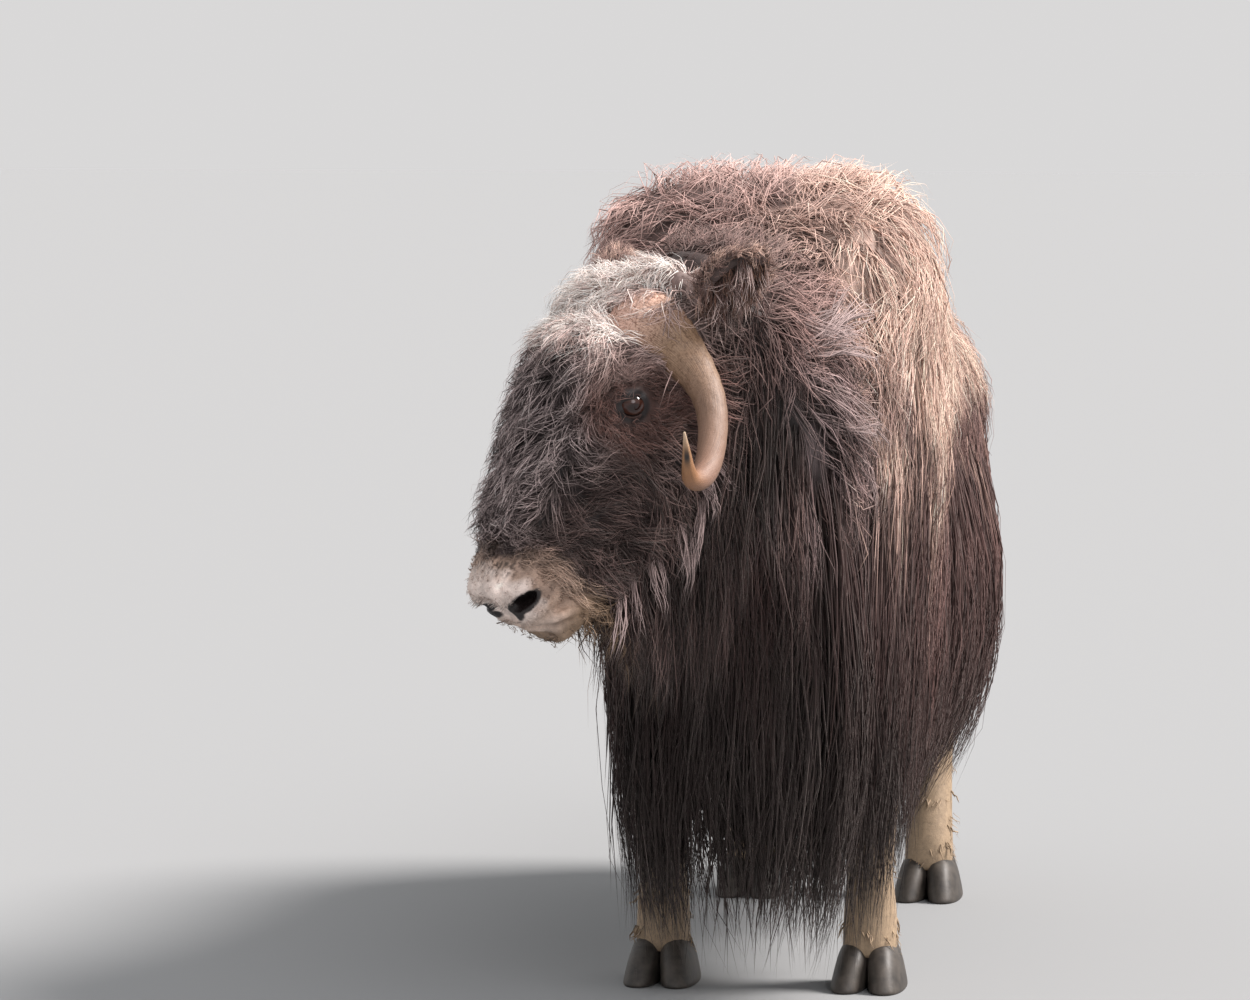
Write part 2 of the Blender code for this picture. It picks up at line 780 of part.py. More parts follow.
def skirt_locks(side, rng):
    """Two tiers of long guard-hair locks down one flank, and a short inner tier that
    fills the hem. Each hangs straight from the widest part of the body."""
    form = skirt_form(side)
    locks = []
    tiers = ((0.80, 0.42, 6, 0.046), (0.65, 0.43, 6, 0.040), (0.54, 0.31, 6, 0.026))
    for tier, (height, drop, count, bulge) in enumerate(tiers):
        for n in range(count):
            t = 0.05 + 0.90 * (n + 0.5 * (tier % 2)) / (count - 0.5)
            row = form.row(np.array(t))
            share = (row[2] - height) / (row[2] - row[5])
            root = row[0:3] + (row[3:6] - row[0:3]) * share
            out = unit(LEFT * side + REAR * 3.6 * (t - 0.5) ** 3)
            longer = drop * (0.92 + 0.16 * rng.random())
            longer = min(longer, height - SKIRT_HEM + 0.03 * rng.random())
            swing = REAR * rng.normal(0.03, 0.025) - out * 0.02 * rng.random()
            size = (0.200 + 0.03 * rng.random(), 0.028)
            locks.append(hanging_lock(root, out, longer, size, bulge, swing))
    return locks


def curtain_spot(front, turn, side):
    """The middle of the chest's curtain, or the rump's, at a share of its turn from
    the animal's middle plane to its flank, and the outward direction there."""
    angle = turn * CURTAIN_TURN
    x = CURTAIN_RADIUS * math.sin(angle) * side
    if front:
        y = CHEST_Y - CHEST_BULGE * math.cos(angle)
    else:
        y = HAUNCH_Y + HAUNCH_BULGE * math.cos(angle)
    out = unit((math.sin(angle) * side, (-1 if front else 1) * math.cos(angle), 0))
    return np.array((x, y, 0.0)), out


def curtain_form(front, side):
    """The core of half of the chest's apron, or of the rump's coat."""
    top, bottom = (0.84, 0.44) if front else (0.86, 0.50)
    rows = []
    for turn in np.linspace(0.01, 1, 5):
        spot, out = curtain_spot(front, turn, side)
        half = 0.014 if turn == 1 else 0.027
        rows.append((spot + UP * top, spot + UP * bottom, half, 2.6, out, 0.5))
    return Form(rows)


def curtain_locks(front, side, rng):
    """The long hair of half of the chest or the rump: tiers of locks, the lowest of
    which falls nearly to the ground."""
    if front:
        tiers = ((0.80, 0.36, 2, 0.055), (0.68, 0.44, 3, 0.045), (0.50, 0.36, 3, 0.03))
    else:
        tiers = ((0.76, 0.42, 3, 0.045), (0.56, 0.33, 3, 0.03))
    locks = []
    for tier, (height, drop, count, bulge) in enumerate(tiers):
        for n in range(count):
            turn = (n + 0.36 + 0.28 * (tier % 2)) / count
            spot, out = curtain_spot(front, turn, side)
            longer = drop * (0.9 + 0.18 * rng.random())
            swing = REAR * (0.03 if front else -0.02) + LEFT * 0.02 * rng.normal()
            size = (0.150 + 0.02 * rng.random(), 0.028)
            root = spot + UP * height
            locks.append(hanging_lock(root, out, longer, size, bulge, swing))
    return locks


def neck_locks(neck, rng):
    """The mane: locks all round the neck that sweep back and down over the shoulder,
    shorter and rougher along the crest."""
    locks = []
    for row, (t, spread, count, length) in enumerate(
        ((0.70, 150, 6, 0.20), (0.48, 160, 7, 0.25), (0.27, 140, 6, 0.25))
    ):
        for n in range(count):
            angle = math.radians(spread) * (2 * (n + 0.5) / count - 1)
            low = (1 - math.cos(angle)) / 2
            flow = (
                REAR * (0.9 - 0.75 * low)
                - UP * (0.25 + 1.1 * low)
                + LEFT * 0.12 * rng.normal()
            )
            long = length * (0.75 + 0.5 * low) * (0.9 + 0.2 * rng.random())
            size = (long, 0.130 + 0.02 * rng.random(), 0.030)
            locks.append(
                lying_lock(neck, t, angle, flow, size, 0.030 + 0.012 * rng.random())
            )
    return locks


def beard_form():
    """The pad under the jaw and throat that the beard grows from."""
    return Form(
        (
            head_row((0.14, -0.150), (0.15, -0.180), 0.030),
            head_row((0.20, -0.150), (0.21, -0.205), 0.058),
            head_row((0.30, -0.165), (0.31, -0.232), 0.078),
            head_row((0.40, -0.165), (0.40, -0.235), 0.082),
            head_row((0.47, -0.150), (0.47, -0.200), 0.050),
        )
    )


def beard_locks(rng):
    """The beard: locks from the jaw's edge and throat, hanging straight down."""
    locks = []
    for behind, count, drop in (
        (0.20, 2, 0.19),
        (0.27, 3, 0.29),
        (0.34, 4, 0.37),
        (0.41, 4, 0.36),
    ):
        for n in range(count):
            turn = -1 + 2 * (n + 0.5) / count
            leftward = turn * min(0.085, 0.03 + 0.18 * (behind - 0.12))
            root = on_head(behind, -0.192 + 0.012 * abs(turn), leftward)
            out = unit(HEAD_LEFT * (turn + 0.05) + HEAD_FORWARD * 0.25)
            swing = REAR * 0.04 + HEAD_LEFT * 0.02 * rng.normal()
            size = (0.066 + 0.014 * rng.random(), 0.022)
            longer = drop * (0.85 + 0.3 * rng.random())
            locks.append(hanging_lock(root, out, longer, size, 0.016, swing))
    return locks


def head_locks(skull, rng):
    """The pale tuft between and behind the horns, and the longer hair of the cheeks,
    which sweeps back along the jaw."""
    locks = []
    for t, count, spread, lift in (
        (0.735, 3, 0.35, 0.030),
        (0.80, 3, 0.30, 0.040),
        (0.90, 5, 1.00, 0.050),
    ):
        for n in range(count):
            angle = spread * (2 * (n + 0.5) / count - 1)
            flow = -HEAD_FORWARD + HEAD_LEFT * 0.5 * angle + UP * 0.2
            size = (0.085, 0.046, 0.026)
            locks.append(lying_lock(skull, t, angle, flow, size, lift, 0.014))
    for side in (1, -1):
        for row, (t, low) in enumerate(
            ((0.50, 106), (0.52, 134), (0.66, 120))
        ):
            angle = math.radians(low) * side
            flow = -HEAD_FORWARD * 0.9 - UP * 0.9 + REAR * 0.2
            size = (0.13 + 0.02 * rng.random(), 0.056, 0.022)
            locks.append(lying_lock(skull, t, angle, flow, size, 0.022, 0.012))
    return locks


def build_head(rng):
    """The head with its lids, mouth line, lips and nostrils, and both eyes."""
    skull = skull_form()
    solids = [skull.solid(16, HEAD_SIDES), jaw_form().solid(10, 10)]
    openings, eyes = [mouth_groove()], []
    for name, side in SIDES_OF_BODY:
        orbit, rims, opening = lids(side)
        solids += [orbit, rims]
        openings += [opening, nostril(side)]
        centre, out, ahead, upward = eye_frame(side)
        radii = (EYE_RADIUS, EYE_RADIUS, EYE_RADIUS)
        eyes.append(
            Part("eye_" + name, [ball(centre, radii, (out, ahead, upward), 6, 10)])
        )
    solids += head_locks(skull, rng)
    head = Part("head", solids, openings)
    head.make_room_for(eyes)
    return head, eyes


def build_horns():
    """Both horns."""
    return [Part("horn_" + name, [horn_solid(side)]) for name, side in SIDES_OF_BODY]


def build_ears():
    """Both ears, each with the hollow of its cup."""
    ears = []
    for name, side in SIDES_OF_BODY:
        leaf, cup = ear_solids(side)
        ears.append(Part("ear_" + name, [leaf], [cup]))
    return ears


def build_tail():
    """The short tail, hidden in life by the rump's hair, with its tuft."""
    form = Form(
        (
            ((0, RUMP_Y - 0.03, 0.985), (0, RUMP_Y - 0.06, 0.955), 0.020, 2, LEFT, 0.5),
            ((0, RUMP_Y + 0.00, 0.965), (0, RUMP_Y - 0.03, 0.930), 0.028, 2, LEFT, 0.5),
            ((0, RUMP_Y + 0.03, 0.900), (0, RUMP_Y - 0.01, 0.885), 0.026, 2, LEFT, 0.5),
            ((0, RUMP_Y + 0.03, 0.850), (0, RUMP_Y + 0.01, 0.845), 0.014, 2, LEFT, 0.5),
        )
    )
    return Part("tail", [form.solid(6, 10)])


def build_curtains(front, neighbours):
    """The left and right halves of the chest's apron, or of the rump's coat."""
    place, number = ("chest_apron", 20) if front else ("rump_coat", 30)
    halves = []
    for name, side in SIDES_OF_BODY:
        core = curtain_form(front, side).solid(5, 6)
        locks = curtain_locks(front, side, dice(number + side))
        half = Part(f"{place}_{name}", [core] + locks)
        half.make_room_for(neighbours + halves)
        halves.append(half)
    return halves


def stand_on_origin(nodes):
    """Moves the whole animal so that its box stands on the origin."""
    corners = np.vstack([points_of(node) for node in nodes])
    low, high = corners.min(0), corners.max(0)
    shift = np.array((-(low[0] + high[0]) / 2, -(low[1] + high[1]) / 2, -low[2]))
    for node in nodes:
        node.data.vertices.foreach_set("co", (points_of(node) + shift).ravel())
        node.data.update()


def main():
    for obj in list(bpy.data.objects):
        bpy.data.objects.remove(obj)
    torso, neck = torso_form(), neck_form()

    head, eyes = build_head(dice(0))
    horns = build_horns()
    head.make_room_for(horns)
    ears = build_ears()
    for ear in ears:
        ear.make_room_for([head] + horns)
    face = [head] + horns + ears

    beard = Part("beard", [beard_form().solid(7, 8)] + beard_locks(dice(1)))
    beard.make_room_for(face)
    mane = Part("neck_mane", [neck.solid(8, 16)] + neck_locks(neck, dice(32)))
    mane.make_room_for(face + [beard])
    body = Part("torso", [torso.solid(13, 16)] + back_locks(torso, dice(3)))
    body.make_room_for(face + [beard, mane])
    tail = build_tail()
    tail.make_room_for([body])
    aprons = build_curtains(True, [body, mane, beard, head])

    curtains = []
    for name, side in SIDES_OF_BODY:
        core = skirt_form(side).solid(8, 6)
        skirt = Part("skirt_" + name, [core] + skirt_locks(side, dice(5 + side)))
        skirt.make_room_for([body, mane] + aprons)
        curtains.append(skirt)
    curtains += build_curtains(False, [body, tail] + curtains) + aprons

    legs, hooves = [], []
    for name, side in SIDES_OF_BODY:
        for place, form, y in (
            ("foreleg", foreleg(side), FORELEG_Y),
            ("hindleg", hindleg(side), HINDLEG_Y),
        ):
            leg = Part(f"{place}_{name}", [form.solid(11, 10)])
            leg.make_room_for([body] + curtains)
            legs.append(leg)
            x = LEG_SPREAD * side * (0.95 if place == "hindleg" else 1)
            hooves.append(hoof(f"{place}_hoof_{name}", x, y))

    dark_coat = material("dark_coat", (0.055, 0.036, 0.028), 0.85)
    back_coat = material("back_coat", (0.16, 0.105, 0.075), 0.85)
    face_coat = material("face_coat", (0.085, 0.058, 0.045), 0.8)
    stocking = material("stocking", (0.30, 0.21, 0.14), 0.85)
    hoof_horn = material("hoof_horn", (0.04, 0.035, 0.03), 0.5)
    horn_keratin = material("horn_keratin", (0.45, 0.31, 0.20), 0.5)
    eye_wet = material("eye_wet", (0.02, 0.012, 0.008), 0.08)
    finishes = (
        (curtains + [beard, mane, tail], dark_coat),
        ([body], back_coat),
        ([head] + ears, face_coat),
        (legs, stocking),
        (hooves, hoof_horn),
        (horns, horn_keratin),
        (eyes, eye_wet),
    )
    nodes = []
    for group, finish in finishes:
        for part in group:
            part.obj.data.materials.clear()
            part.obj.data.materials.append(finish)
            nodes.append(part.obj)
    stand_on_origin(nodes)


main()
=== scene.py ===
"""The looks of a life-size muskox: one skin under a long coat of tapered strands.

The animal faces -Y, its left side is +X. The skin is made from body forms, runs of
cross-sections that are smoothly joined, and the coat grows from the same forms: guides
are combed along them, and each guide is drawn out into a lock of strands. Places are
worked out in the body's own frame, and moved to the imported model's by SHIFT.
"""

import math

import bpy
import numpy as np
from mathutils import Matrix, Vector


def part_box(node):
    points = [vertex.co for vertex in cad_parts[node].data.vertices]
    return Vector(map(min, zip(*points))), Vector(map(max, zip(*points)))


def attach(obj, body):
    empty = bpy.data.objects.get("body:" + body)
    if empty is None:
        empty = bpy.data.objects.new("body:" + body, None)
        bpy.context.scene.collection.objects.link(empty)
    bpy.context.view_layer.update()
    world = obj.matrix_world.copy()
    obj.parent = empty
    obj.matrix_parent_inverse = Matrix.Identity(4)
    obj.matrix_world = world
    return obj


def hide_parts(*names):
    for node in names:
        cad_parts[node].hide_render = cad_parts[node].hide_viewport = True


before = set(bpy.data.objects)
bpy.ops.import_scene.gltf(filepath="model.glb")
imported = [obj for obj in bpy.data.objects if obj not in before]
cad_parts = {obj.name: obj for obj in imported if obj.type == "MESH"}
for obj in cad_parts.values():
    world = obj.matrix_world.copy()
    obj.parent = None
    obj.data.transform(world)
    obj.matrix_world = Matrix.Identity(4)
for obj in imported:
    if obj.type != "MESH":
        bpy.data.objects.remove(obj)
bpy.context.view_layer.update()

# Sizes of the body, in metres, as the solids have them
HUMP_HEIGHT = 1.30
COAT_DEPTH = 0.036
SHOULDER_HALF_WIDTH = 0.258
BELLY_HALF_WIDTH = 0.262
RUMP_Y = 1.13
LEG_SPREAD = 0.165
FORELEG_Y = -0.02
HINDLEG_Y = 0.86
HOOF_HEIGHT = 0.062
HOOF_FRONT = 0.096
EYE_RADIUS = 0.021
NOSE_TIP = np.array((-0.326, -0.738, 0.688))
HEAD_TURN = math.radians(50)
HEAD_PITCH = math.radians(52)
HEAD_ROLL = math.radians(3)
EYE_PLACE = (0.338, 0.002, 0.122)

# The skin's fineness, in metres
BODY_VOXEL = 0.010
HEAD_VOXEL = 0.0034

# A strand's root lies this deep, and its patch on the bake map is this wide
ROOT_DEPTH = 0.006
PATCH = 0.003

LEFT = np.array((1.0, 0.0, 0.0))
REAR = np.array((0.0, 1.0, 0.0))
UP = np.array((0.0, 0.0, 1.0))

hoof_low, hoof_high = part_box("foreleg_hoof_left")
SHIFT = np.array(
    ((hoof_low.x + hoof_high.x) / 2 - LEG_SPREAD, hoof_low.y - (FORELEG_Y - HOOF_FRONT), 0.0)
)

# Colours of the coat and skin, linear
DARK = (0.050, 0.029, 0.027)
BLACK = (0.014, 0.0095, 0.009)
MID = (0.150, 0.086, 0.078)
GRIZZLE = (0.80, 0.54, 0.49)
STRAW = (0.88, 0.61, 0.50)
WOOL = (0.52, 0.40, 0.41)
CREAM = (0.95, 0.75, 0.70)
FOREHEAD = (0.96, 0.70, 0.64)
BRIDGE = (0.055, 0.040, 0.042)
# Pale tips of the bridge's hair, partly painted sheen
BRIDGE_TIPS_AND_SHEEN = (0.92, 0.75, 0.73)
CHEEK = (0.036, 0.021, 0.020)
CHEEK_TIPS = (0.33, 0.215, 0.195)
EYE_HAIR = (0.125, 0.066, 0.056)
MUZZLE_PALE = (0.80, 0.67, 0.61)
MUZZLE_TAN = (0.46, 0.32, 0.25)
CHIN = (0.24, 0.155, 0.09)
STOCKING = (0.40, 0.29, 0.19)
LIP = (0.50, 0.36, 0.28)
BARE = (0.014, 0.010, 0.010)


def unit(v):
    """The vectors at length one."""
    v = np.asarray(v, float)
    return v / np.maximum(np.linalg.norm(v, axis=-1, keepdims=True), 1e-12)


def dot(a, b):
    """The dot products of two arrays of vectors."""
    return np.sum(a * b, axis=-1)


def rise(low, high, x):
    """From 0 at low to 1 at high, flat at both ends: 3 s^2 - 2 s^3."""
    s = np.clip((np.asarray(x, float) - low) / (high - low), 0, 1)
    return s * s * (3 - 2 * s)


def blend(a, b, share):
    """From a to b by the share, which has one value for each row."""
    share = np.asarray(share, float)[..., None]
    return np.asarray(a) * (1 - share) + np.asarray(b) * share


def ripple(points, size, seed, waves=7):
    """Smooth noise of about -1 to 1: the sum of sine waves that run in random
    directions, each about as long as the size."""
    rng = np.random.default_rng(seed)
    ways = unit(rng.normal(size=(waves, 3))) * rng.uniform(0.6, 1.7, (waves, 1))
    phases = rng.uniform(0, 2 * math.pi, waves)
    return np.sin(points @ ways.T * (2 * math.pi / size) + phases).sum(-1) / 2.4


def head_axes():
    """The head's forward, dorsal and left directions."""
    facing = np.array((-math.sin(HEAD_TURN), -math.cos(HEAD_TURN), 0.0))
    forward = math.cos(HEAD_PITCH) * facing - math.sin(HEAD_PITCH) * UP
    dorsal = math.sin(HEAD_PITCH) * facing + math.cos(HEAD_PITCH) * UP
    left = np.cross(UP, facing)
    cos_roll, sin_roll = math.cos(HEAD_ROLL), math.sin(HEAD_ROLL)
    return (forward, cos_roll * dorsal - sin_roll * left, cos_roll * left + sin_roll * dorsal)


HEAD_FORWARD, HEAD_DORSAL, HEAD_LEFT = head_axes()


def on_head(behind, above, leftward):
    """Points of the head, by their distances behind, above and left of the nose tip."""
    behind, above, leftward = np.broadcast_arrays(behind, above, leftward)
    return (
        NOSE_TIP
        - behind[..., None] * HEAD_FORWARD
        + above[..., None] * HEAD_DORSAL
        + leftward[..., None] * HEAD_LEFT
    )


def from_nose(points):
    """How far points lie behind, above and left of the nose tip."""
    away = points - NOSE_TIP
    return -away @ HEAD_FORWARD, away @ HEAD_DORSAL, away @ HEAD_LEFT


def catmull_rom(rows, k):
    """The rows' numbers at places k, counted from the first row, by a Catmull-Rom curve."""
    i = np.minimum(k.astype(int), len(rows) - 2)
    f = (k - i)[..., None]
    padded = np.vstack((2 * rows[0] - rows[1], rows, 2 * rows[-1] - rows[-2]))
    a, b, c, d = padded[i], padded[i + 1], padded[i + 2], padded[i + 3]
    return 0.5 * (
        2 * b + (c - a) * f + (2 * a - 5 * b + 4 * c - d) * f**2 + (3 * b - a - 3 * c + d) * f**3
    )


class Form:
    """A body form: cross-sections between a top and a bottom point, smoothly joined.

    A row is (top, bottom, half width, fullness, side direction, waist). Fullness is
    the superellipse's power above the widest line, below which it is 2.4 at most, and
    waist is the share of the height above that line.
    """

    def __init__(self, *rows):
        packed = [
            np.concatenate((top, bottom, (half, fullness, waist), side))
            for top, bottom, half, fullness, side, waist in rows
        ]
        self.rows = np.array(packed, float)

    def row(self, t):
        """The cross-sections at shares t of the form's length, by a Catmull-Rom curve."""
        return catmull_rom(self.rows, np.clip(t, 0, 1) * (len(self.rows) - 1))

    def point(self, t, angle):
        """The surface point at share t and at an angle from the top to the side: the
        middle, plus the superellipse's reach along the height and the side."""
        t, angle = np.broadcast_arrays(np.asarray(t, float), np.asarray(angle, float))
        r = self.row(t)
        top, bottom, side = r[..., 0:3], r[..., 3:6], unit(r[..., 9:12])
        half, fullness, waist = r[..., 6], r[..., 7], r[..., 8]
        centre = top + (bottom - top) * waist[..., None]
        c, s = np.cos(angle), np.sin(angle)
        fullness = np.where(c > 0, fullness, np.minimum(fullness, 2.4))
        reach = (np.abs(c) ** fullness + np.abs(s) ** fullness) ** (-1 / fullness)
        vertical = np.where((c > 0)[..., None], top - centre, centre - bottom)
        return centre + (reach * c)[..., None] * vertical + (reach * s * half)[..., None] * side

    def slopes(self, t, angle):
        """How the surface point moves with t and with the angle."""
        step = 1e-3
        along = self.point(t + step, angle) - self.point(t - step, angle)
        around = self.point(t, angle + step) - self.point(t, angle - step)
        return along / (2 * step), around / (2 * step)

    def normal(self, t, angle):
        """The outward direction at a surface point."""
        along, around = self.slopes(t, angle)
        n = unit(np.cross(along, around))
        r = self.row(np.asarray(t, float))
        centre = (r[..., 0:3] + r[..., 3:6]) / 2
        outward = dot(n, self.point(t, angle) - centre)[..., None]
        return n * np.where(outward < 0, -1.0, 1.0)

    def solid(self, rings, around):
        """The closed mesh of the form, with a pole at each end."""
        t = np.linspace(0, 1, rings)
        angle = np.arange(around) * 2 * math.pi / around
        return closed_grid(self.point(t[:, None], angle[None, :]))


def closed_grid(grid):
    """Vertices and faces of a tube of rings, each end closed by a fan to its middle."""
    rings, around = grid.shape[:2]
    points = np.vstack((grid.reshape(-1, 3), grid[0].mean(0), grid[-1].mean(0)))
    i, j = np.meshgrid(np.arange(rings - 1), np.arange(around), indexing="ij")
    k = (j + 1) % around
    corners = (i * around + j, i * around + k, (i + 1) * around + k, (i + 1) * around + j)
    quads = np.stack(corners, -1).reshape(-1, 4)
    ring = np.arange(around)
    after = (ring + 1) % around
    start, end, tail = rings * around, rings * around + 1, (rings - 1) * around
    caps = np.vstack(
        (
            np.stack((np.full(around, start), after, ring), 1),
            np.stack((np.full(around, end), tail + ring, tail + after), 1),
        )
    )
    a, b, c = points[caps[:, 0]], points[caps[:, 1]], points[caps[:, 2]]
    volume = np.sum(a * np.cross(b, c))
    a, b, c, d = (points[quads[:, n]] for n in range(4))
    volume += np.sum(a * np.cross(b, c)) + np.sum(a * np.cross(c, d))
    if volume < 0:
        quads, caps = quads[:, ::-1], caps[:, ::-1]
    return points, quads.tolist() + caps.tolist()


def swept(path, halves, across, sides):
    """A closed tube: ellipses of two half sizes carried along a path. The first half
    size lies along the across direction, squared to the path."""
    return closed_grid(tube_rings(path, halves, across, sides)[0])


def tube_rings(path, halves, across, sides):
    """The rings of a tube, and the outward direction at each of their points."""
    path, halves = np.asarray(path, float), np.asarray(halves, float)
    tangent = unit(np.gradient(path, axis=0))
    across = np.asarray(across, float) + np.zeros_like(path)
    side = unit(across - dot(across, tangent)[:, None] * tangent)
    other = np.cross(tangent, side)
    angle = (np.arange(sides) * 2 * math.pi / sides)[None, :, None]
    one = np.cos(angle) * (side * halves[:, :1])[:, None, :]
    two = np.sin(angle) * (other * halves[:, 1:])[:, None, :]
    out = np.cos(angle) * side[:, None, :] + np.sin(angle) * other[:, None, :]
    return path[:, None, :] + one + two, out


def ball(centre, radii, axes, rings=14, around=24):
    """The closed mesh of an ellipsoid with its three radii along the three axes."""
    polar = np.linspace(0, math.pi, rings + 2)[1:-1, None, None]
    turn = np.linspace(0, 2 * math.pi, around, endpoint=False)[None, :, None]
    a, b, c = (np.asarray(v) * r for v, r in zip(axes, radii))
    rim = np.cos(turn) * b + np.sin(turn) * c
    return closed_grid(np.asarray(centre) + np.cos(polar) * a + np.sin(polar) * rim)


def smooth_curve(stations, count):
    """A curve through rows of numbers, at even steps."""
    rows = np.asarray(stations, float)
    return catmull_rom(rows, np.linspace(0, len(rows) - 1, count))


def distance_to(points, path):
    """The distance from each point to the nearest point of a finely stepped path."""
    return np.sqrt(((points[:, None, :] - path[None]) ** 2).sum(-1).min(1))


def new_object(name, points, faces):
    """A Blender object of the points and faces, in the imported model's frame."""
    mesh = bpy.data.meshes.new(name)
    mesh.from_pydata((np.asarray(points) + SHIFT).tolist(), [], faces)
    mesh.update()
    obj = bpy.data.objects.new(name, mesh)
    bpy.context.scene.collection.objects.link(obj)
    return obj


def points_of(mesh):
    """A mesh's vertices in the body's own frame."""
    points = np.zeros(len(mesh.vertices) * 3, np.float32)
    mesh.vertices.foreach_get("co", points)
    return points.reshape(-1, 3).astype(float) - SHIFT


def normals_of(mesh):
    """A mesh's vertex normals."""
    normals = np.zeros(len(mesh.vertices) * 3, np.float32)
    mesh.vertex_normals.foreach_get("vector", normals)
    return normals.reshape(-1, 3).astype(float)


def move_points(mesh, points):
    """Puts a mesh's vertices at points of the body's own frame."""
    mesh.vertices.foreach_set("co", (points + SHIFT).astype(np.float32).ravel())
    mesh.update()


def smooth_shaded(mesh):
    """Shades every face of the mesh smoothly."""
    mesh.polygons.foreach_set("use_smooth", np.ones(len(mesh.polygons), bool))


def put(mesh, name, values):
    """Stores one value, or one colour, at each vertex under a name."""
    values = np.asarray(values, np.float32)
    if values.ndim == 1:
        mesh.attributes.new(name, "FLOAT", "POINT").data.foreach_set("value", values)
        return
    colours = np.ones((len(values), 4), np.float32)
    colours[:, :3] = values
    layer = mesh.attributes.new(name, "FLOAT_COLOR", "POINT")
    layer.data.foreach_set("color", colours.ravel())


def bake(obj):
    """Applies the object's modifiers to its mesh."""
    graph = bpy.context.evaluated_depsgraph_get()
    mesh = bpy.data.meshes.new_from_object(obj.evaluated_get(graph))
    old = obj.data
    obj.modifiers.clear()
    obj.data = mesh
    bpy.data.meshes.remove(old)


def joined(solids):
    """The points and the faces of all the solids, as one mesh's."""
    points = np.vstack([solid[0] for solid in solids])
    starts = np.cumsum([0] + [len(solid[0]) for solid in solids])
    faces = [[v + start for v in face] for (_, each), start in zip(solids, starts) for face in each]
    return points, faces


def even_cells(obj, voxel, smoothing):
    """Makes a surface anew in even cells of the voxel's size, and smooths it."""
    remesh = obj.modifiers.new("cells", "REMESH")
    remesh.mode = "VOXEL"
    remesh.voxel_size = voxel
    soften = obj.modifiers.new("soften", "SMOOTH")
    soften.factor = 0.5
    soften.iterations = smoothing
    bake(obj)


def cut(obj, other, operation):
    """Joins the other object to this one, or takes it away, and deletes it."""
    join = obj.modifiers.new("join", "BOOLEAN")
    join.operation = operation
    join.solver = "MANIFOLD"
    join.object = other
    bake(obj)
    bpy.data.objects.remove(other)


# The forms of the body


def body_row(y, top, bottom, half, fullness=2.5, waist=0.45):
    """A cross-section of the trunk, square to the length of the body."""
    return ((0, y, top), (0, y, bottom), half, fullness, LEFT, waist)


def torso_form():
    """The trunk under its coat: a high hump over the shoulders, a long back."""
    crest = HUMP_HEIGHT - COAT_DEPTH
    return Form(
        body_row(-0.33, crest - 0.22, 0.62, 0.10),
        body_row(-0.27, crest - 0.10, 0.55, 0.196, 3.4),
        body_row(-0.14, crest - 0.02, 0.48, 0.248, 4.8),
        body_row(0.03, crest, 0.45, SHOULDER_HALF_WIDTH, 4.6),
        body_row(0.22, crest - 0.040, 0.44, SHOULDER_HALF_WIDTH - 0.022, 2.4),
        body_row(0.45, crest - 0.112, 0.44, BELLY_HALF_WIDTH - 0.028, 2.0),
        body_row(0.70, crest - 0.155, 0.47, BELLY_HALF_WIDTH - 0.020, 1.95),
        body_row(0.90, crest - 0.185, 0.52, BELLY_HALF_WIDTH - 0.034, 2.0),
        body_row(1.04, crest - 0.25, 0.57, 0.190, 2.2),
        body_row(RUMP_Y - 0.02, crest - 0.36, 0.66, 0.12, 2.2),
        body_row(RUMP_Y, crest - 0.47, 0.74, 0.035, 2.0),
    )


def neck_form():
    """The short, deep neck, turning to the right as it runs to the back of the head."""
    quarter_turned = unit(2 * LEFT + HEAD_LEFT)
    half_turned = unit(LEFT + HEAD_LEFT)
    poll, throat = on_head(0.60, 0.02, 0.0), on_head(0.46, -0.215, 0.0)
    front_top, front_bottom = on_head(0.52, 0.0, 0.0), on_head(0.42, -0.15, 0.0)
    return Form(
        ((0.00, -0.22, 1.110), (0.00, -0.26, 0.66), 0.140, 2.4, LEFT, 0.5),
        ((-0.01, -0.26, 1.165), (0.00, -0.32, 0.62), 0.172, 2.4, LEFT, 0.5),
        ((-0.02, -0.34, 1.165), (0.00, -0.37, 0.66), 0.172, 2.3, quarter_turned, 0.5),
        ((-0.04, -0.43, 1.160), (0.01, -0.41, 0.79), 0.156, 2.3, half_turned, 0.48),
        (poll, throat, 0.128, 2.2, HEAD_LEFT, 0.48),
        (front_top, front_bottom, 0.075, 2.2, HEAD_LEFT, 0.5),
    )


def head_row(top, bottom, half, fullness=2.3, waist=0.5):
    """A cross-section of the head: (behind, above) of its top and bottom points."""
    ends = on_head(*top, 0.0), on_head(*bottom, 0.0)
    return (*ends, half, fullness, HEAD_LEFT, waist)


def skull_form():
    """The head above the mouth: blunt muzzle, long bridge, wide forehead."""
    return Form(
        head_row((0.010, -0.030), (0.010, -0.075), 0.022),
        head_row((0.002, -0.008), (0.004, -0.094), 0.052, 2.6),
        head_row((0.030, 0.006), (0.034, -0.112), 0.071, 2.8),
        head_row((0.085, 0.022), (0.090, -0.122), 0.078, 2.6),
        head_row((0.150, 0.042), (0.155, -0.130), 0.084, 2.4),
        head_row((0.225, 0.068), (0.230, -0.150), 0.100),
        head_row((0.300, 0.094), (0.310, -0.168), 0.118),
        head_row((0.365, 0.104), (0.385, -0.172), 0.124),
        head_row((0.430, 0.072), (0.450, -0.160), 0.126),
        head_row((0.505, 0.048), (0.520, -0.120), 0.118),
        head_row((0.560, 0.000), (0.560, -0.080), 0.080),
    )


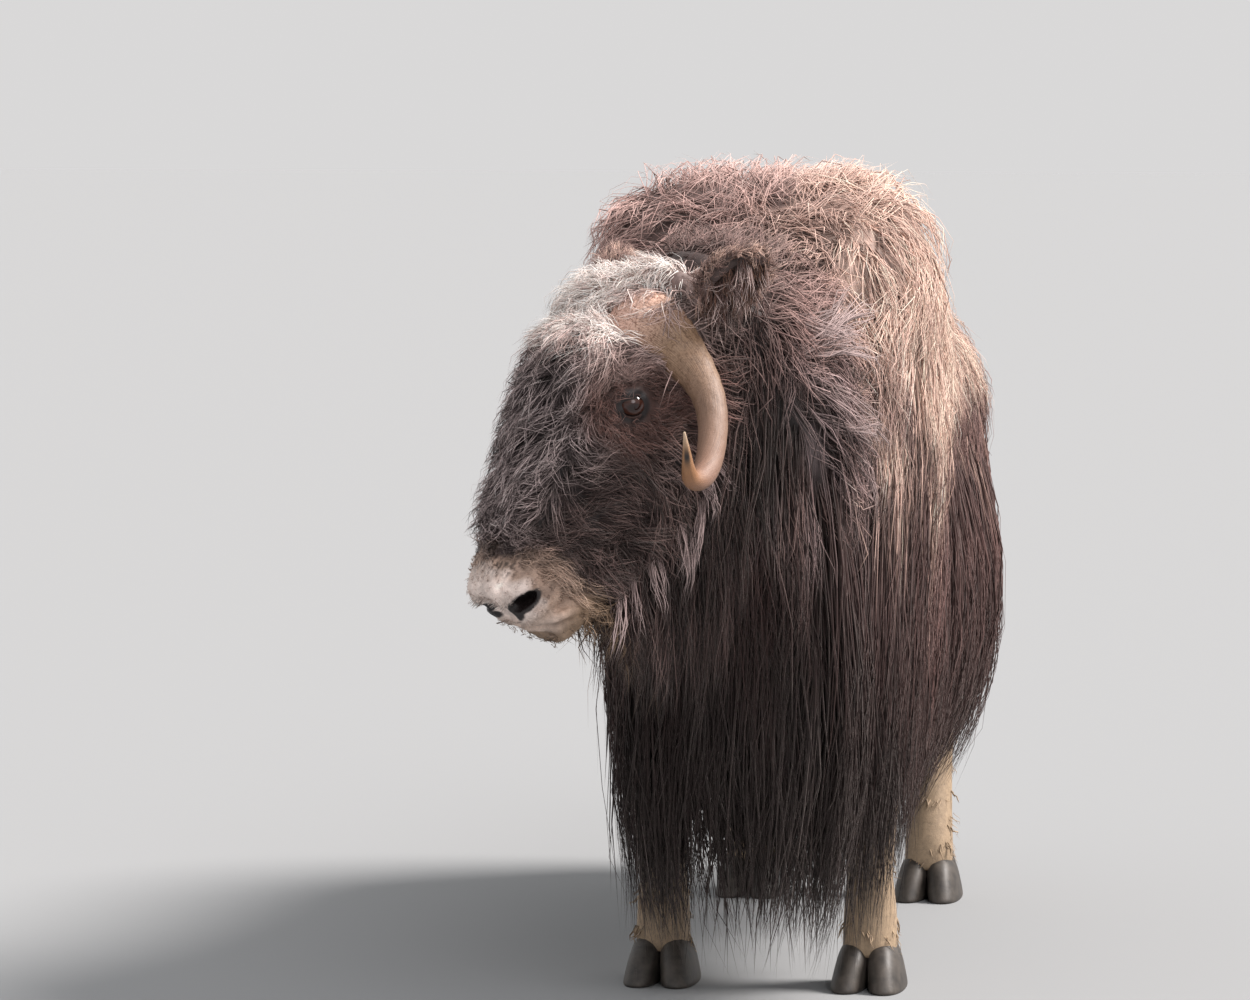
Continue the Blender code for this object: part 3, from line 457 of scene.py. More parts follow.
def wool_form():
    """The cushion of wool on the brow: over the right horn's boss, and behind the
    left one's."""
    rows = []
    for leftward, behind, top, half in (
        (-0.140, 0.455, 0.020, 0.012),
        (-0.115, 0.460, 0.058, 0.036),
        (-0.075, 0.465, 0.084, 0.052),
        (-0.030, 0.475, 0.088, 0.054),
        (0.000, 0.498, 0.078, 0.042),
        (0.040, 0.528, 0.060, 0.026),
        (0.085, 0.540, 0.042, 0.014),
    ):
        ends = on_head(behind, top, leftward), on_head(behind, -0.01, leftward)
        rows.append((*ends, half, 2.2, HEAD_FORWARD, 0.5))
    return Form(*rows)


def jaw_form():
    """The lower jaw, from the chin to the deep angle below the ear."""
    return Form(
        head_row((0.028, -0.108), (0.022, -0.132), 0.032),
        head_row((0.022, -0.100), (0.018, -0.150), 0.056, 2.6),
        head_row((0.070, -0.095), (0.076, -0.166), 0.067, 2.6),
        head_row((0.150, -0.085), (0.160, -0.178), 0.070),
        head_row((0.250, -0.080), (0.260, -0.196), 0.080),
        head_row((0.350, -0.070), (0.370, -0.212), 0.088),
        head_row((0.430, -0.060), (0.455, -0.190), 0.080),
        head_row((0.480, -0.060), (0.490, -0.130), 0.050),
    )


def leg_form(side, y, rows):
    """A leg from rows of (height, front, back, half width), with y as its middle."""
    x = LEG_SPREAD * side
    return Form(
        *(
            ((x, y + front, z), (x, y + back, z), half, 2.2, LEFT, 0.5)
            for z, front, back, half in rows
        )
    )


def foreleg_form(side):
    """A foreleg: thick forearm, knee, slim cannon bone and fetlock."""
    return leg_form(
        side,
        FORELEG_Y,
        (
            (0.66, -0.07, 0.09, 0.060),
            (0.56, -0.09, 0.09, 0.074),
            (0.44, -0.075, 0.065, 0.062),
            (0.33, -0.060, 0.045, 0.050),
            (0.28, -0.052, 0.035, 0.045),
            (0.19, -0.042, 0.032, 0.036),
            (0.125, -0.046, 0.040, 0.042),
            (0.090, -0.050, 0.036, 0.043),
            (HOOF_HEIGHT - 0.012, -0.054, 0.034, 0.044),
        ),
    )


def hindleg_form(side):
    """A hind leg: heavy thigh, angled hock and slim cannon bone."""
    return leg_form(
        side * 0.95,
        HINDLEG_Y,
        (
            (0.74, -0.15, 0.07, 0.070),
            (0.62, -0.15, 0.11, 0.080),
            (0.50, -0.10, 0.115, 0.066),
            (0.39, -0.020, 0.120, 0.048),
            (0.34, 0.005, 0.112, 0.042),
            (0.24, 0.000, 0.076, 0.036),
            (0.135, -0.040, 0.046, 0.040),
            (0.095, -0.052, 0.034, 0.042),
            (HOOF_HEIGHT - 0.012, -0.056, 0.030, 0.042),
        ),
    )


def tail_form():
    """The short tail, hidden in life by the rump's hair."""
    return Form(
        ((0, RUMP_Y - 0.05, 0.985), (0, RUMP_Y - 0.08, 0.955), 0.022, 2, LEFT, 0.5),
        ((0, RUMP_Y + 0.00, 0.965), (0, RUMP_Y - 0.03, 0.930), 0.026, 2, LEFT, 0.5),
        ((0, RUMP_Y + 0.03, 0.900), (0, RUMP_Y - 0.01, 0.885), 0.024, 2, LEFT, 0.5),
        ((0, RUMP_Y + 0.03, 0.850), (0, RUMP_Y + 0.01, 0.845), 0.012, 2, LEFT, 0.5),
    )


def ear_frame(side):
    """An ear's root and its directions to the tip, out of the cup, and across."""
    root = on_head(0.520, -0.012, 0.095 * side)
    tip_way = unit(HEAD_LEFT * side * 0.72 - HEAD_FORWARD * 0.50 + HEAD_DORSAL * 0.12)
    cup_way = unit(HEAD_FORWARD * 0.55 + HEAD_LEFT * side * 0.55 - HEAD_DORSAL * 0.25)
    cup_way = unit(cup_way - np.dot(cup_way, tip_way) * tip_way)
    return root, tip_way, cup_way, np.cross(tip_way, cup_way)


EAR_LENGTH = 0.150
EAR_SHARES = np.array((0.0, 0.2, 0.45, 0.7, 0.9, 1.0))
EAR_WIDTHS = np.array((0.022, 0.030, 0.040, 0.038, 0.024, 0.006))
EAR_DEPTHS = np.array((0.020, 0.024, 0.024, 0.018, 0.011, 0.004))


def ear_forms(side):
    """The leaf of an ear, and the hollow of its cup."""
    root, tip_way, cup_way, across = ear_frame(side)
    rows, cup_rows = [], []
    for share, width, depth in zip(EAR_SHARES, EAR_WIDTHS, EAR_DEPTHS):
        middle = root + tip_way * EAR_LENGTH * share
        top, bottom = middle + cup_way * depth, middle - cup_way * depth
        rows.append((top, bottom, width, 2.0, across, 0.55))
        if 0.2 <= share <= 0.9:
            inner = middle + cup_way * (depth + 0.003)
            top, bottom = inner + cup_way * 0.02, inner - cup_way * depth * 1.30
            cup_rows.append((top, bottom, width * 0.74, 2.0, across, 0.5))
    return Form(*rows), Form(*cup_rows)


def mouth_line(count=121):
    """The line between the lips, from corner to corner round the muzzle, as shares of
    a turn from -1 to 1 and as points."""
    turn = np.linspace(-1, 1, count)
    leftward = 0.069 * np.sin(turn * math.pi / 2)
    behind = 0.004 + 0.056 * np.abs(turn) ** 2.2
    above = -0.0950 - 0.042 * np.abs(turn) ** 1.9
    return turn, on_head(behind, above, leftward)


def nostril_frame(side):
    """A nostril's middle and its outward, long and upward directions."""
    hole = on_head(0.018, -0.048, 0.059 * side)
    outwards = unit(HEAD_FORWARD * 0.55 + HEAD_LEFT * side * 0.83)
    slant = HEAD_LEFT * side * 0.46 - HEAD_FORWARD * 0.85 - HEAD_DORSAL * 0.24
    slant = unit(slant - np.dot(slant, outwards) * outwards)
    return hole, outwards, slant, np.cross(outwards, slant) * side


def eye_frame(side):
    """The eye's middle and its outward, forward and upward directions."""
    behind, above, leftward = EYE_PLACE
    centre = on_head(behind, above, (leftward - EYE_RADIUS * 0.55) * side)
    out = unit(HEAD_LEFT * side + HEAD_FORWARD * 0.32 + HEAD_DORSAL * 0.12)
    upward = unit(HEAD_DORSAL * 0.70 - HEAD_FORWARD * 0.71)
    upward = unit(upward - np.dot(upward, out) * out)
    return centre, out, np.cross(upward, out), upward


HORN_STATIONS = np.array(
    (
        (0.455, 0.040, 0.006, 0.034, 0.016),
        (0.455, 0.046, 0.022, 0.054, 0.029),
        (0.456, 0.038, 0.055, 0.060, 0.034),
        (0.450, 0.016, 0.095, 0.054, 0.032),
        (0.436, -0.025, 0.138, 0.0310, 0.026),
        (0.408, -0.060, 0.180, 0.0235, 0.0225),
        (0.358, -0.083, 0.215, 0.0215, 0.0210),
        (0.306, -0.094, 0.240, 0.0195, 0.0195),
        (0.274, -0.088, 0.260, 0.0175, 0.0175),
        (0.258, -0.068, 0.272, 0.0125, 0.0125),
        (0.261, -0.042, 0.278, 0.0078, 0.0078),
        (0.272, -0.018, 0.281, 0.0015, 0.0015),
    )
)
LEFT_HORN_CURL = ((0.276, -0.040, 0.289), (0.302, -0.006, 0.300))


def horn_path(side, count=160):
    """The middle line and half sizes of a horn, smoothed as the solid's are. The
    left horn carries its tip higher."""
    stations = HORN_STATIONS.copy()
    if side > 0:
        stations[-2:, :3] = LEFT_HORN_CURL
    fine = np.linspace(0, len(stations) - 1, 18)
    whole = np.arange(len(stations))
    smooth = np.stack([np.interp(fine, whole, c) for c in stations.T], 1)
    smooth[1:-1] = (smooth[:-2] + 2 * smooth[1:-1] + smooth[2:]) / 4
    smooth = smooth_curve(smooth, count)
    return on_head(smooth[:, 0], smooth[:, 1], smooth[:, 2] * side), smooth[:, 3:]


SIDES = (("left", 1), ("right", -1))
TORSO, NECK, SKULL, JAW = torso_form(), neck_form(), skull_form(), jaw_form()
WOOL_PAD = wool_form()
LEGS = [form(side) for _, side in SIDES for form in (foreleg_form, hindleg_form)]
MOUTH = mouth_line()[1]
EYES = [eye_frame(side) for _, side in SIDES]
NOSTRILS = [nostril_frame(side) for _, side in SIDES]


# The animal's markings


def coat_colour(points, along=0.0, chance=0.5):
    """The coat's colour at points of the body, for a share along each hair and a
    chance of 0 to 1 for each hair: soft patches mixed by place, hairs that lighten to
    their tips on the hump, saddle and forehead, and a spread of shades. The lighter
    tips high on the body are partly painted rim light, and the saddle is partly painted
    light: paler and lower on the left side, which faces the high sun."""
    along = np.broadcast_to(along, points.shape[:-1]).astype(float)
    chance = np.broadcast_to(chance, points.shape[:-1]).astype(float)
    x, y, z = points[..., 0], points[..., 1], points[..., 2]
    patch = ripple(points, 0.16, 1)
    fleck = ripple(points, 0.045, 2)
    light = rise(0.30, 0.75, chance)
    tip = along**1.2

    brown = rise(0.50, 1.00, z + 0.10 * patch) * rise(-0.25, 0.15, y)
    brown = np.maximum(brown, rise(0.95, 1.10, z))
    colour = blend(DARK, MID, brown * (0.75 + 0.25 * tip))
    # Light tips grow lighter still up the body: partly the hairs' own colour, partly painted rim
    # light.
    colour = colour * (1 + 1.3 * (light * tip * rise(0.45, 0.80, z))[..., None])
    lower = rise(0.80, 0.52, z + 0.05 * patch) * rise(0.20, -0.18, y)
    colour = blend(colour, BLACK, lower * 0.90)
    hump = rise(0.98, 1.16, z + 0.05 * patch) * rise(0.62, 0.25, y)
    hump = hump * (0.40 + 0.60 * rise(-0.30, -0.06, y))
    shown = np.clip(0.20 + 0.50 * tip + 0.60 * light * tip, 0, 1)
    colour = blend(colour, GRIZZLE, hump * shown)
    # The pale saddle is a real marking; it is paler and reaches further down and forward on the
    # left side, which faces the high sun: painted light there.
    ragged = 0.05 * patch + 0.025 * fleck
    left_light = rise(1.15, 1.31, z + 1.4 * x + 1.3 * ragged) * rise(0.84, 0.95, z + ragged)
    left_light = left_light * rise(-0.40, -0.26, y + ragged)
    left_light = left_light * (0.55 * rise(-0.04, 0.08, x) + 0.45 * rise(0.08, 0.20, x))
    right_light = rise(-0.04, -0.2, x) * rise(0.80, 1.02, z + ragged) * rise(-0.02, 0.2, y)
    back_light = rise(0.12, 0.34, y + ragged) * rise(0.90, 1.08, z + ragged)
    saddle = np.maximum(np.maximum(left_light, right_light * 0.8), back_light)
    saddle = saddle * rise(1.08, 0.84, y + ragged)
    saddle = saddle * np.clip(0.46 + 0.46 * tip + 0.46 * light + 0.12 * fleck, 0, 1)
    colour = blend(colour, STRAW, saddle)

    on_neck = rise(-0.10, -0.24, y) * rise(1.20, 1.08, z) * rise(0.74, 0.86, z)
    shed = rise(-0.50, 0.40, ripple(points, 0.10, 3)) * rise(-0.15, 0.0, x)
    shed = shed * rise(1.06, 0.98, z) * rise(0.22, 0.13, x) * (0.20 + 0.65 * light)
    colour = blend(colour, WOOL, on_neck * shed)
    colour = blend(colour, GRIZZLE, on_neck * light * tip * 0.45)
    behind_ear = rise(-0.20, -0.34, y) * rise(0.97, 1.04, z) * rise(0.12, 0.04, x)
    colour = colour * (1 - 0.45 * behind_ear)[..., None]

    head = on_head_share(points)
    colour = blend(colour, face_colour(points, along, light), head)

    shades = 0.68 + 0.64 * chance
    return np.clip(colour * shades[..., None] * (0.92 + 0.16 * fleck[..., None]), 0, 0.95)


def on_head_share(points):
    """How far a point belongs to the head, from 0 to 1."""
    behind, above, leftward = from_nose(points)
    near = rise(0.64, 0.54, behind + 0.25 * np.abs(above) + 0.20 * np.abs(leftward))
    return near * rise(0.36, 0.28, np.abs(leftward)) * rise(-0.34, -0.22, above)


def wool_share(points):
    """How far a point lies in the pale wool between the horns."""
    behind, above, leftward = from_nose(points)
    patch = ripple(points, 0.05, 4)
    share = rise(0.385, 0.435, behind + 0.012 * patch) * rise(0.045, 0.075, above)
    return share * rise(0.10, 0.05, leftward) * rise(0.66, 0.58, behind)


def eye_gap(points):
    """How far points lie from the nearer eye's middle."""
    return np.minimum(*(np.linalg.norm(points - eye[0], axis=-1) for eye in EYES))


def face_colour(points, along, light=0.5):
    """The face: pale muzzle with a tan top and chin, dark bridge and eyes, cheeks with
    light tips, tan forehead, and pale wool between the horns. The bridge's light tips
    are partly painted sheen."""
    behind, above, leftward = from_nose(points)
    patch = ripple(points, 0.05, 4)
    mottle = np.clip(0.55 + 0.6 * patch, 0, 1)
    tips = along**1.4 * light
    colour = blend(CHEEK, CHEEK_TIPS, tips * mottle)
    # The bridge's hair lightens to its tips: partly real light tips, partly painted sheen.
    bridge = blend(BRIDGE, BRIDGE_TIPS_AND_SHEEN, along * light * (0.60 + 0.40 * mottle))
    colour = blend(colour, bridge, rise(-0.02, 0.05, above))
    under = rise(-0.13, -0.20, above) * rise(0.12, 0.24, behind)
    colour = blend(colour, BLACK, under * 0.92 * (1 - 0.5 * tips))
    eye = eye_gap(points)
    around_eye = blend(EYE_HAIR, np.array(EYE_HAIR) * 2.0, tips)
    behind_eye = rise(0.31, 0.36, behind) * rise(0.05, -0.02, above) * rise(0.17, 0.09, eye)
    colour = blend(colour, around_eye, np.maximum(rise(0.090, 0.050, eye), behind_eye))
    brow = rise(0.325, 0.425, behind + 0.02 * patch) * rise(0.000, 0.055, above)
    lid_side = rise(0.330, 0.375, behind) * rise(-0.05, -0.01, above) * rise(0.05, 0.08, eye)
    brow = np.maximum(brow, 0.7 * lid_side * rise(0.06, 0.10, np.abs(leftward)))
    colour = blend(colour, FOREHEAD, brow * (0.42 + 0.33 * along + 0.25 * light))
    colour = blend(colour, CREAM, wool_share(points))
    muzzle = muzzle_colour(points, behind, above)
    edge = 0.062 + 0.034 * rise(0.015, -0.03, above) + 0.006 * patch
    return blend(colour, muzzle, rise(edge + 0.012, edge - 0.012, behind))


def muzzle_colour(points, behind, above):
    """The muzzle: palest at the nose and over the nostrils, tan with dark flecks on
    top, tan at the lips and browner at the chin."""
    patch = ripple(points, 0.030, 30)
    fleck = ripple(points, 0.011, 31)
    colour = blend(MUZZLE_TAN, MUZZLE_PALE, rise(0.050, 0.018, behind + 0.006 * patch))
    for hole, _, slant, upward in NOSTRILS:
        away = points - hole - upward * 0.021
        along, across = away @ slant, away @ upward
        near = np.sqrt((along / 0.030) ** 2 + (across / 0.013) ** 2)
        near = np.where(np.linalg.norm(away, axis=-1) < 0.05, near, 9.0)
        colour = blend(colour, MUZZLE_PALE, rise(1.3, 0.6, near))
    top = rise(-0.03, 0.0, above) * rise(0.022, 0.045, behind)
    colour = colour * (1 - top * rise(-0.2, 0.8, fleck) * 0.75)[..., None]
    colour = blend(colour, LIP, rise(-0.070, -0.090, above) * 0.7)
    return blend(colour, CHIN, rise(-0.105, -0.135, above) * 0.8)


def hide_colour(points, bare):
    """The skin's colour: the coat's own, with painted shade under long hair that is
    much less under short hair and wool, and the bare places nearly black."""
    head = on_head_share(points)
    behind = from_nose(points)[0]
    short = head * rise(0.14, 0.08, behind)
    woolly = wool_share(points) * head
    # Painted shade under the coat: the skin keeps half the coat's colour under long hair, nearly
    # all of it under short hair and wool.
    deep = 0.50 + 0.45 * np.maximum(short, woolly)
    colour = coat_colour(points) * deep[:, None]
    leg = rise(0.36, 0.30, points[:, 2])
    colour = blend(colour, np.array(STOCKING) * 0.8, leg)
    return blend(colour, BARE, bare)


# The skin


def face_bulges(side):
    """Ellipsoids that one side of the face adds to the skull: the socket's bulge, the
    brow over the eye and the wing of the nostril."""
    centre, out, ahead, upward = eye_frame(side)
    hole, outwards, slant, over = nostril_frame(side)
    wing = hole + over * 0.012 + slant * 0.004 - outwards * 0.010
    return [
        (centre - out * 0.020, (0.036, 0.050, 0.042), (out, ahead, upward)),
        (
            centre - out * 0.010 + upward * 0.020 - ahead * 0.006,
            (0.024, 0.040, 0.014),
            (out, ahead, upward),
        ),
        (wing, (0.017, 0.032, 0.015), (outwards, slant, over)),
    ]


def lip_rolls():
    """The rolls of the upper and the lower lip, tubes that follow the mouth's line."""
    turn, line = mouth_line(41)
    taper = (1 - 0.50 * np.abs(turn) ** 3)[:, None]
    upper = line + HEAD_DORSAL * 0.0085 - HEAD_FORWARD * 0.003
    lower = line - HEAD_DORSAL * 0.0085 - HEAD_FORWARD * 0.005
    inwards = unit(on_head(0.075, -0.11, 0.0) - line) * 0.005
    return [
        swept(upper + inwards, taper * (0.0105, 0.0085), HEAD_DORSAL, 12),
        swept(lower + inwards * 1.3, taper * (0.0095, 0.0080), HEAD_DORSAL, 12),
    ]


def sculpted(points, normals):
    """Where the head's skin points go: in along the mouth's line and out beside it by
    a narrow bell less a wide one, in along short folds behind the nostrils, and in
    and out by faint ripples."""
    apart = distance_to(points, MOUTH)
    groove = -0.0070 * np.exp(-((apart / 0.0032) ** 2))
    groove += 0.0016 * np.exp(-(((apart - 0.010) / 0.006) ** 2))
    folds = np.zeros(len(points))
    for _, side in SIDES:
        for step in range(3):
            behind = 0.045 + 0.016 * step + 0.012 * np.linspace(-1, 1, 30) ** 2
            above = np.linspace(-0.035, -0.085, 30)
            leftward = (0.076 + 0.003 * step) * side
            apart = distance_to(points, on_head(behind, above, leftward))
            folds -= 0.0018 * np.exp(-((apart / 0.0038) ** 2))
    faint = 0.0008 * ripple(points, 0.030, 5) + 0.0004 * ripple(points, 0.013, 6)
    return points + normals * (groove + folds + faint)[:, None]


def build_head_skin():
    """The head with its ears: forms fused, nostrils and cups of the ears hollowed out,
    and the face sculpted."""
    solids = [SKULL.solid(60, 64), JAW.solid(40, 44), WOOL_PAD.solid(30, 28)]
    solids += lip_rolls()
    hollows = []
    for _, side in SIDES:
        solids += [ball(*bulge) for bulge in face_bulges(side)]
        leaf, cup = ear_forms(side)
        solids.append(leaf.solid(30, 32))
        hollows.append(cup.solid(20, 24))
        hole, outwards, slant, over = nostril_frame(side)
        inner = hole + slant * 0.007 + over * 0.001
        front = hole - slant * 0.016 - over * 0.005
        axes = (outwards, slant, over)
        hollows.append(ball(inner - outwards * 0.003, (0.026, 0.0205, 0.0125), axes))
        hollows.append(ball(front, (0.012, 0.0150, 0.0070), axes))
    head = new_object("head_skin", *joined(solids))
    even_cells(head, HEAD_VOXEL, 3)
    for n, hollow in enumerate(hollows):
        cut(head, new_object(f"hollow_{n}", *hollow), "DIFFERENCE")
    even_cells(head, HEAD_VOXEL, 2)
    points = sculpted(points_of(head.data), normals_of(head.data))
    move_points(head.data, points)
    return head


def nose_strip():
    """The middle of the bare strip that joins the nostrils over the upper lip."""
    turn = np.linspace(-1, 1, 41)
    leftward = 0.052 * np.sin(turn * math.pi / 2)
    return on_head(0.001 + 0.010 * turn**2, -0.068 + 0.010 * turn**2, leftward)


NOSE_STRIP = nose_strip()


def nostril_size(points):
    """How far points lie from the nearer nostril's middle, as a share of its bare rim:
    a comma, whose front end turns down."""
    nearest = np.full(len(points), 9.0)
    for hole, outwards, slant, upward in NOSTRILS:
        away = points - hole
        along, high, deep = away @ slant, away @ upward, away @ outwards
        high = high + 0.25 * np.clip(-along, 0, 1)
        size = (along / 0.0330) ** 2 + (high / 0.0150) ** 2 + (deep / 0.060) ** 2
        nearest = np.minimum(nearest, np.sqrt(size))
    return nearest


def bare_share(points):
    """How far the skin is bare and dark: in the nostrils, on the strip between them,
    along the mouth's line and round the eyes. Deep in the nostrils' hollows and in the
    mouth's groove the dark is partly painted shade."""
    # Dark bare skin, with painted shade in the mouth's groove and the nostrils' hollows.
    bare = rise(0.0045, 0.0020, distance_to(points, MOUTH)) * 0.85
    bare = np.maximum(bare, rise(1.12, 0.98, nostril_size(points)))
    bare = np.maximum(bare, rise(0.0085, 0.0065, distance_to(points, NOSE_STRIP)))
    for centre, out, *_ in EYES:
        away = np.linalg.norm(points - centre - out * 0.012, axis=1)
        bare = np.maximum(bare, rise(0.029, 0.022, away))
    return bare


def build_skin(hide):
    """The one skin: trunk, neck, legs and tail fused, and the head joined to them."""
    solids = [TORSO.solid(60, 72), NECK.solid(40, 60), tail_form().solid(16, 16)]
    solids += [leg.solid(40, 32) for leg in LEGS]
    skin = new_object("skin", *joined(solids))
    even_cells(skin, BODY_VOXEL, 5)
    cut(skin, build_head_skin(), "UNION")
    mesh = skin.data
    points = points_of(mesh)
    behind, _, leftward = from_nose(points)
    bare = np.zeros(len(points))
    face = (np.abs(behind - 0.2) < 0.25) & (np.abs(leftward) < 0.2)
    bare[face] = bare_share(points[face])
    put(mesh, "coat_colour", hide_colour(points, bare))
    put(mesh, "bare", bare)
    mesh.materials.clear()
    mesh.materials.append(hide)
    smooth_shaded(mesh)
    flesh = ["torso", "neck_mane", "head", "tail"]
    for name, _ in SIDES:
        flesh += [f"{part}_{name}" for part in ("ear", "foreleg", "hindleg")]
    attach(skin, "root")
    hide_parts(*flesh)
    return skin


# The coat

# Two irrational steps that scatter places evenly over a surface
STEP_ALONG, STEP_ROUND = 0.7548776662, 0.5698402910


def places(form, count, t_span, angle_span, rng, share=None):
    """Evenly scattered (t, angle) on a form: steps of two irrational numbers, thinned
    in proportion to the area there and to the share that is wanted."""
    k = np.arange(count * 16)
    t = t_span[0] + (t_span[1] - t_span[0]) * ((k * STEP_ALONG + 0.5) % 1)
    turn = (k * STEP_ROUND + 0.5) % 1
    angle = np.radians(angle_span[0] + (angle_span[1] - angle_span[0]) * turn)
    along, around = form.slopes(t, angle)
    weight = np.linalg.norm(np.cross(along, around), axis=-1)
    if share is not None:
        weight = weight * share(form.point(t, angle), form.normal(t, angle))
    total = weight.sum()
    chance = np.clip(weight * count / max(total, 1e-9), 0, 1)
    kept = rng.random(len(k)) < chance
    return t[kept], angle[kept]


def combed(form, t, angle, flow, length, lift, rings, swell=0.25, **rest):
    """The guides of locks, and the outward direction along them.

    A guide starts below the form's surface, follows it in the direction of the flow
    and rises to its lift. Once the surface turns under, the guide leaves it and falls:
    straight down, first swelling outwards and then drawing in, and drifting sideways,
    level and to the rear. Then it wanders to and fro by a sine whose size grows along
    it and whose phase is shared by neighbours. Last, it is pushed out over bulges.
    """
    wander, sway, drift = (rest.get(name, 0.0) for name in ("wander", "sway", "drift"))
    swell, drift = (np.broadcast_to(x, t.shape)[:, None] for x in (swell, drift))
    hang = rest.get("hang", (0.12, -0.22))
    step = (length / (rings - 1))[:, None]
    lift = np.broadcast_to(lift, t.shape)
    spot = form.point(t, angle) - form.normal(t, angle) * ROOT_DEPTH
    start = form.normal(t, angle)
    level = unit(start * (1, 1, 0) + 1e-6)
    loose = np.zeros(len(t))
    path, outs, heights = [spot], [start], [np.full(len(t), -ROOT_DEPTH)]
    for k in range(1, rings):
        s = k / (rings - 1)
        surface, normal = form.point(t, angle), form.normal(t, angle)
        way = flow(surface, normal)
        way = unit(way - dot(way, normal)[:, None] * normal)
        along, around = form.slopes(t, angle)
        aa, ab, bb = dot(along, along), dot(along, around), dot(around, around)
        fa, fb = dot(way, along), dot(way, around)
        det = np.maximum(aa * bb - ab * ab, 1e-9)
        t = np.clip(t + (bb * fa - ab * fb) / det * step[:, 0], 0.004, 0.996)
        angle = angle + (aa * fb - ab * fa) / det * step[:, 0]
        height = -ROOT_DEPTH + (lift + ROOT_DEPTH) * math.sin(min(s * 1.15, 1) * math.pi / 2)
        normal = form.normal(t, angle)
        lying = form.point(t, angle) + normal * height[:, None]
        fall = unit(-UP + level * (swell * (1 - 2.2 * s) + drift) + REAR * sway)
        hanging = spot + fall * step
        loose = np.maximum(loose, rise(*hang, normal[:, 2]))
        spot = blend(lying, hanging, loose)
        path.append(spot)
        outs.append(unit(blend(normal, level, loose)))
        heights.append(height)
    path, outs, heights = (np.stack(x, 1) for x in (path, outs, heights))
    s = np.linspace(0, 1, rings)
    phase = 3.0 * ripple(path[:, :1], 0.11, 40) + 4.0 * s
    across = unit(np.cross(unit(np.gradient(path, axis=1)), outs))
    size = (wander * s**0.8)[None, :]
    path = path + across * (size * (np.sin(phase) - np.sin(phase[:, :1])))[..., None]
    path = path + outs * (size * 0.4 * (1 + np.sin(phase * 1.3)))[..., None]
    for centre, radii, axes in rest.get("bulges", ()):
        path = pushed_out(path, heights, centre, radii, axes)
    return path, outs


def pushed_out(path, heights, centre, radii, axes):
    """Guides whose points inside an ellipsoid are moved out from its middle, to their
    heights over its surface."""
    away = path - centre
    local = np.stack([away @ axis for axis in axes], -1)
    share = np.linalg.norm(local / (np.array(radii) + heights[..., None]), axis=-1)
    return centre + away * np.where(share < 1, 1 / np.maximum(share, 0.15), 1)[..., None]


class Cut:
    """How the locks of a piece of coat are drawn out into strands.

    strands: how many to a lock; spread: the lock's radius at its root; gather: how
    much of that is drawn together at the tips; width: a strand's; wave, turns: the
    size and number of its waves; frizz: its unruliness; loft: how far strands stand
    off one another; short: how much shorter the shortest is; fine: the share of
    thin, light hairs that lie over the thick, dark ones.
    """

    def __init__(self, strands, spread, gather, width, **rest):
        self.strands, self.spread, self.gather, self.width = strands, spread, gather, width
        self.wave = rest.get("wave", 0.004)
        self.turns = rest.get("turns", 1.0)
        self.frizz = rest.get("frizz", 0.002)
        self.loft = rest.get("loft", 0.012)
        self.short = rest.get("short", 0.35)
        self.fine = rest.get("fine", 0.42)


def drawn_out(path, out, cut, rng):
    """The strands of each lock: paths, outward directions, which lock each is of, and
    whether it is a fine one.

    A strand keeps its own offset from the guide, less the share gathered towards the
    tip, runs along a share of the guide's length, and waves by two sines that grow to
    the tip.
    """
    locks, rings = path.shape[:2]
    count = (locks, cut.strands)
    along = unit(np.gradient(path, axis=1))
    across = unit(np.cross(along, out))
    s = np.linspace(0, 1, rings)
    fine = rng.random(count) < cut.fine
    reach = 1 - cut.short * rng.random(count) ** np.where(fine, 3.0, 1.2)
    k = reach[..., None] * s * (rings - 1)
    i = np.minimum(k.astype(int), rings - 2)
    f = (k - i)[..., None]
    lock = np.arange(locks)[:, None, None]
    spot = path[lock, i] * (1 - f) + path[lock, i + 1] * f
    side = across[lock, i]
    up = np.cross(side, along[lock, i])
    r = cut.spread * np.sqrt(rng.random(count))
    turn = rng.uniform(0, 2 * math.pi, count)
    gather = cut.gather * rng.uniform(0.55, 1.15, (locks, 1, 1))
    gather = gather * np.where(rng.random(count) < 0.12, 0.1, 1 - 0.4 * fine)[..., None]
    hold = 1 - gather * s**0.75
    x = (r * np.cos(turn))[..., None] * hold
    y = (r * np.sin(turn))[..., None] * hold
    waves = rng.uniform(0, 2 * math.pi, (2,) + count)[..., None]
    size = cut.wave * rng.uniform(0.4, 1.5, count)[..., None] * s
    pitch = 2 * math.pi * cut.turns * rng.uniform(0.7, 1.3, count)[..., None] * s
    x = x + size * np.sin(pitch + waves[0])
    z = size * np.sin(pitch * 1.13 + waves[1])
    loft = cut.loft * (0.55 * rng.random(count) + 0.45 * fine)
    z = z + loft[..., None] * np.sin(s * 2.2)
    strands = spot + side * x[..., None] + up * z[..., None]
    strands = strands + along[:, None, :1] * y[..., None]
    strands = strands + rng.normal(0, 1, strands.shape) * (cut.frizz * s[:, None])
    whose = np.repeat(np.arange(locks), cut.strands)
    return strands.reshape(-1, rings, 3), up.reshape(-1, rings, 3), whose, fine.ravel()


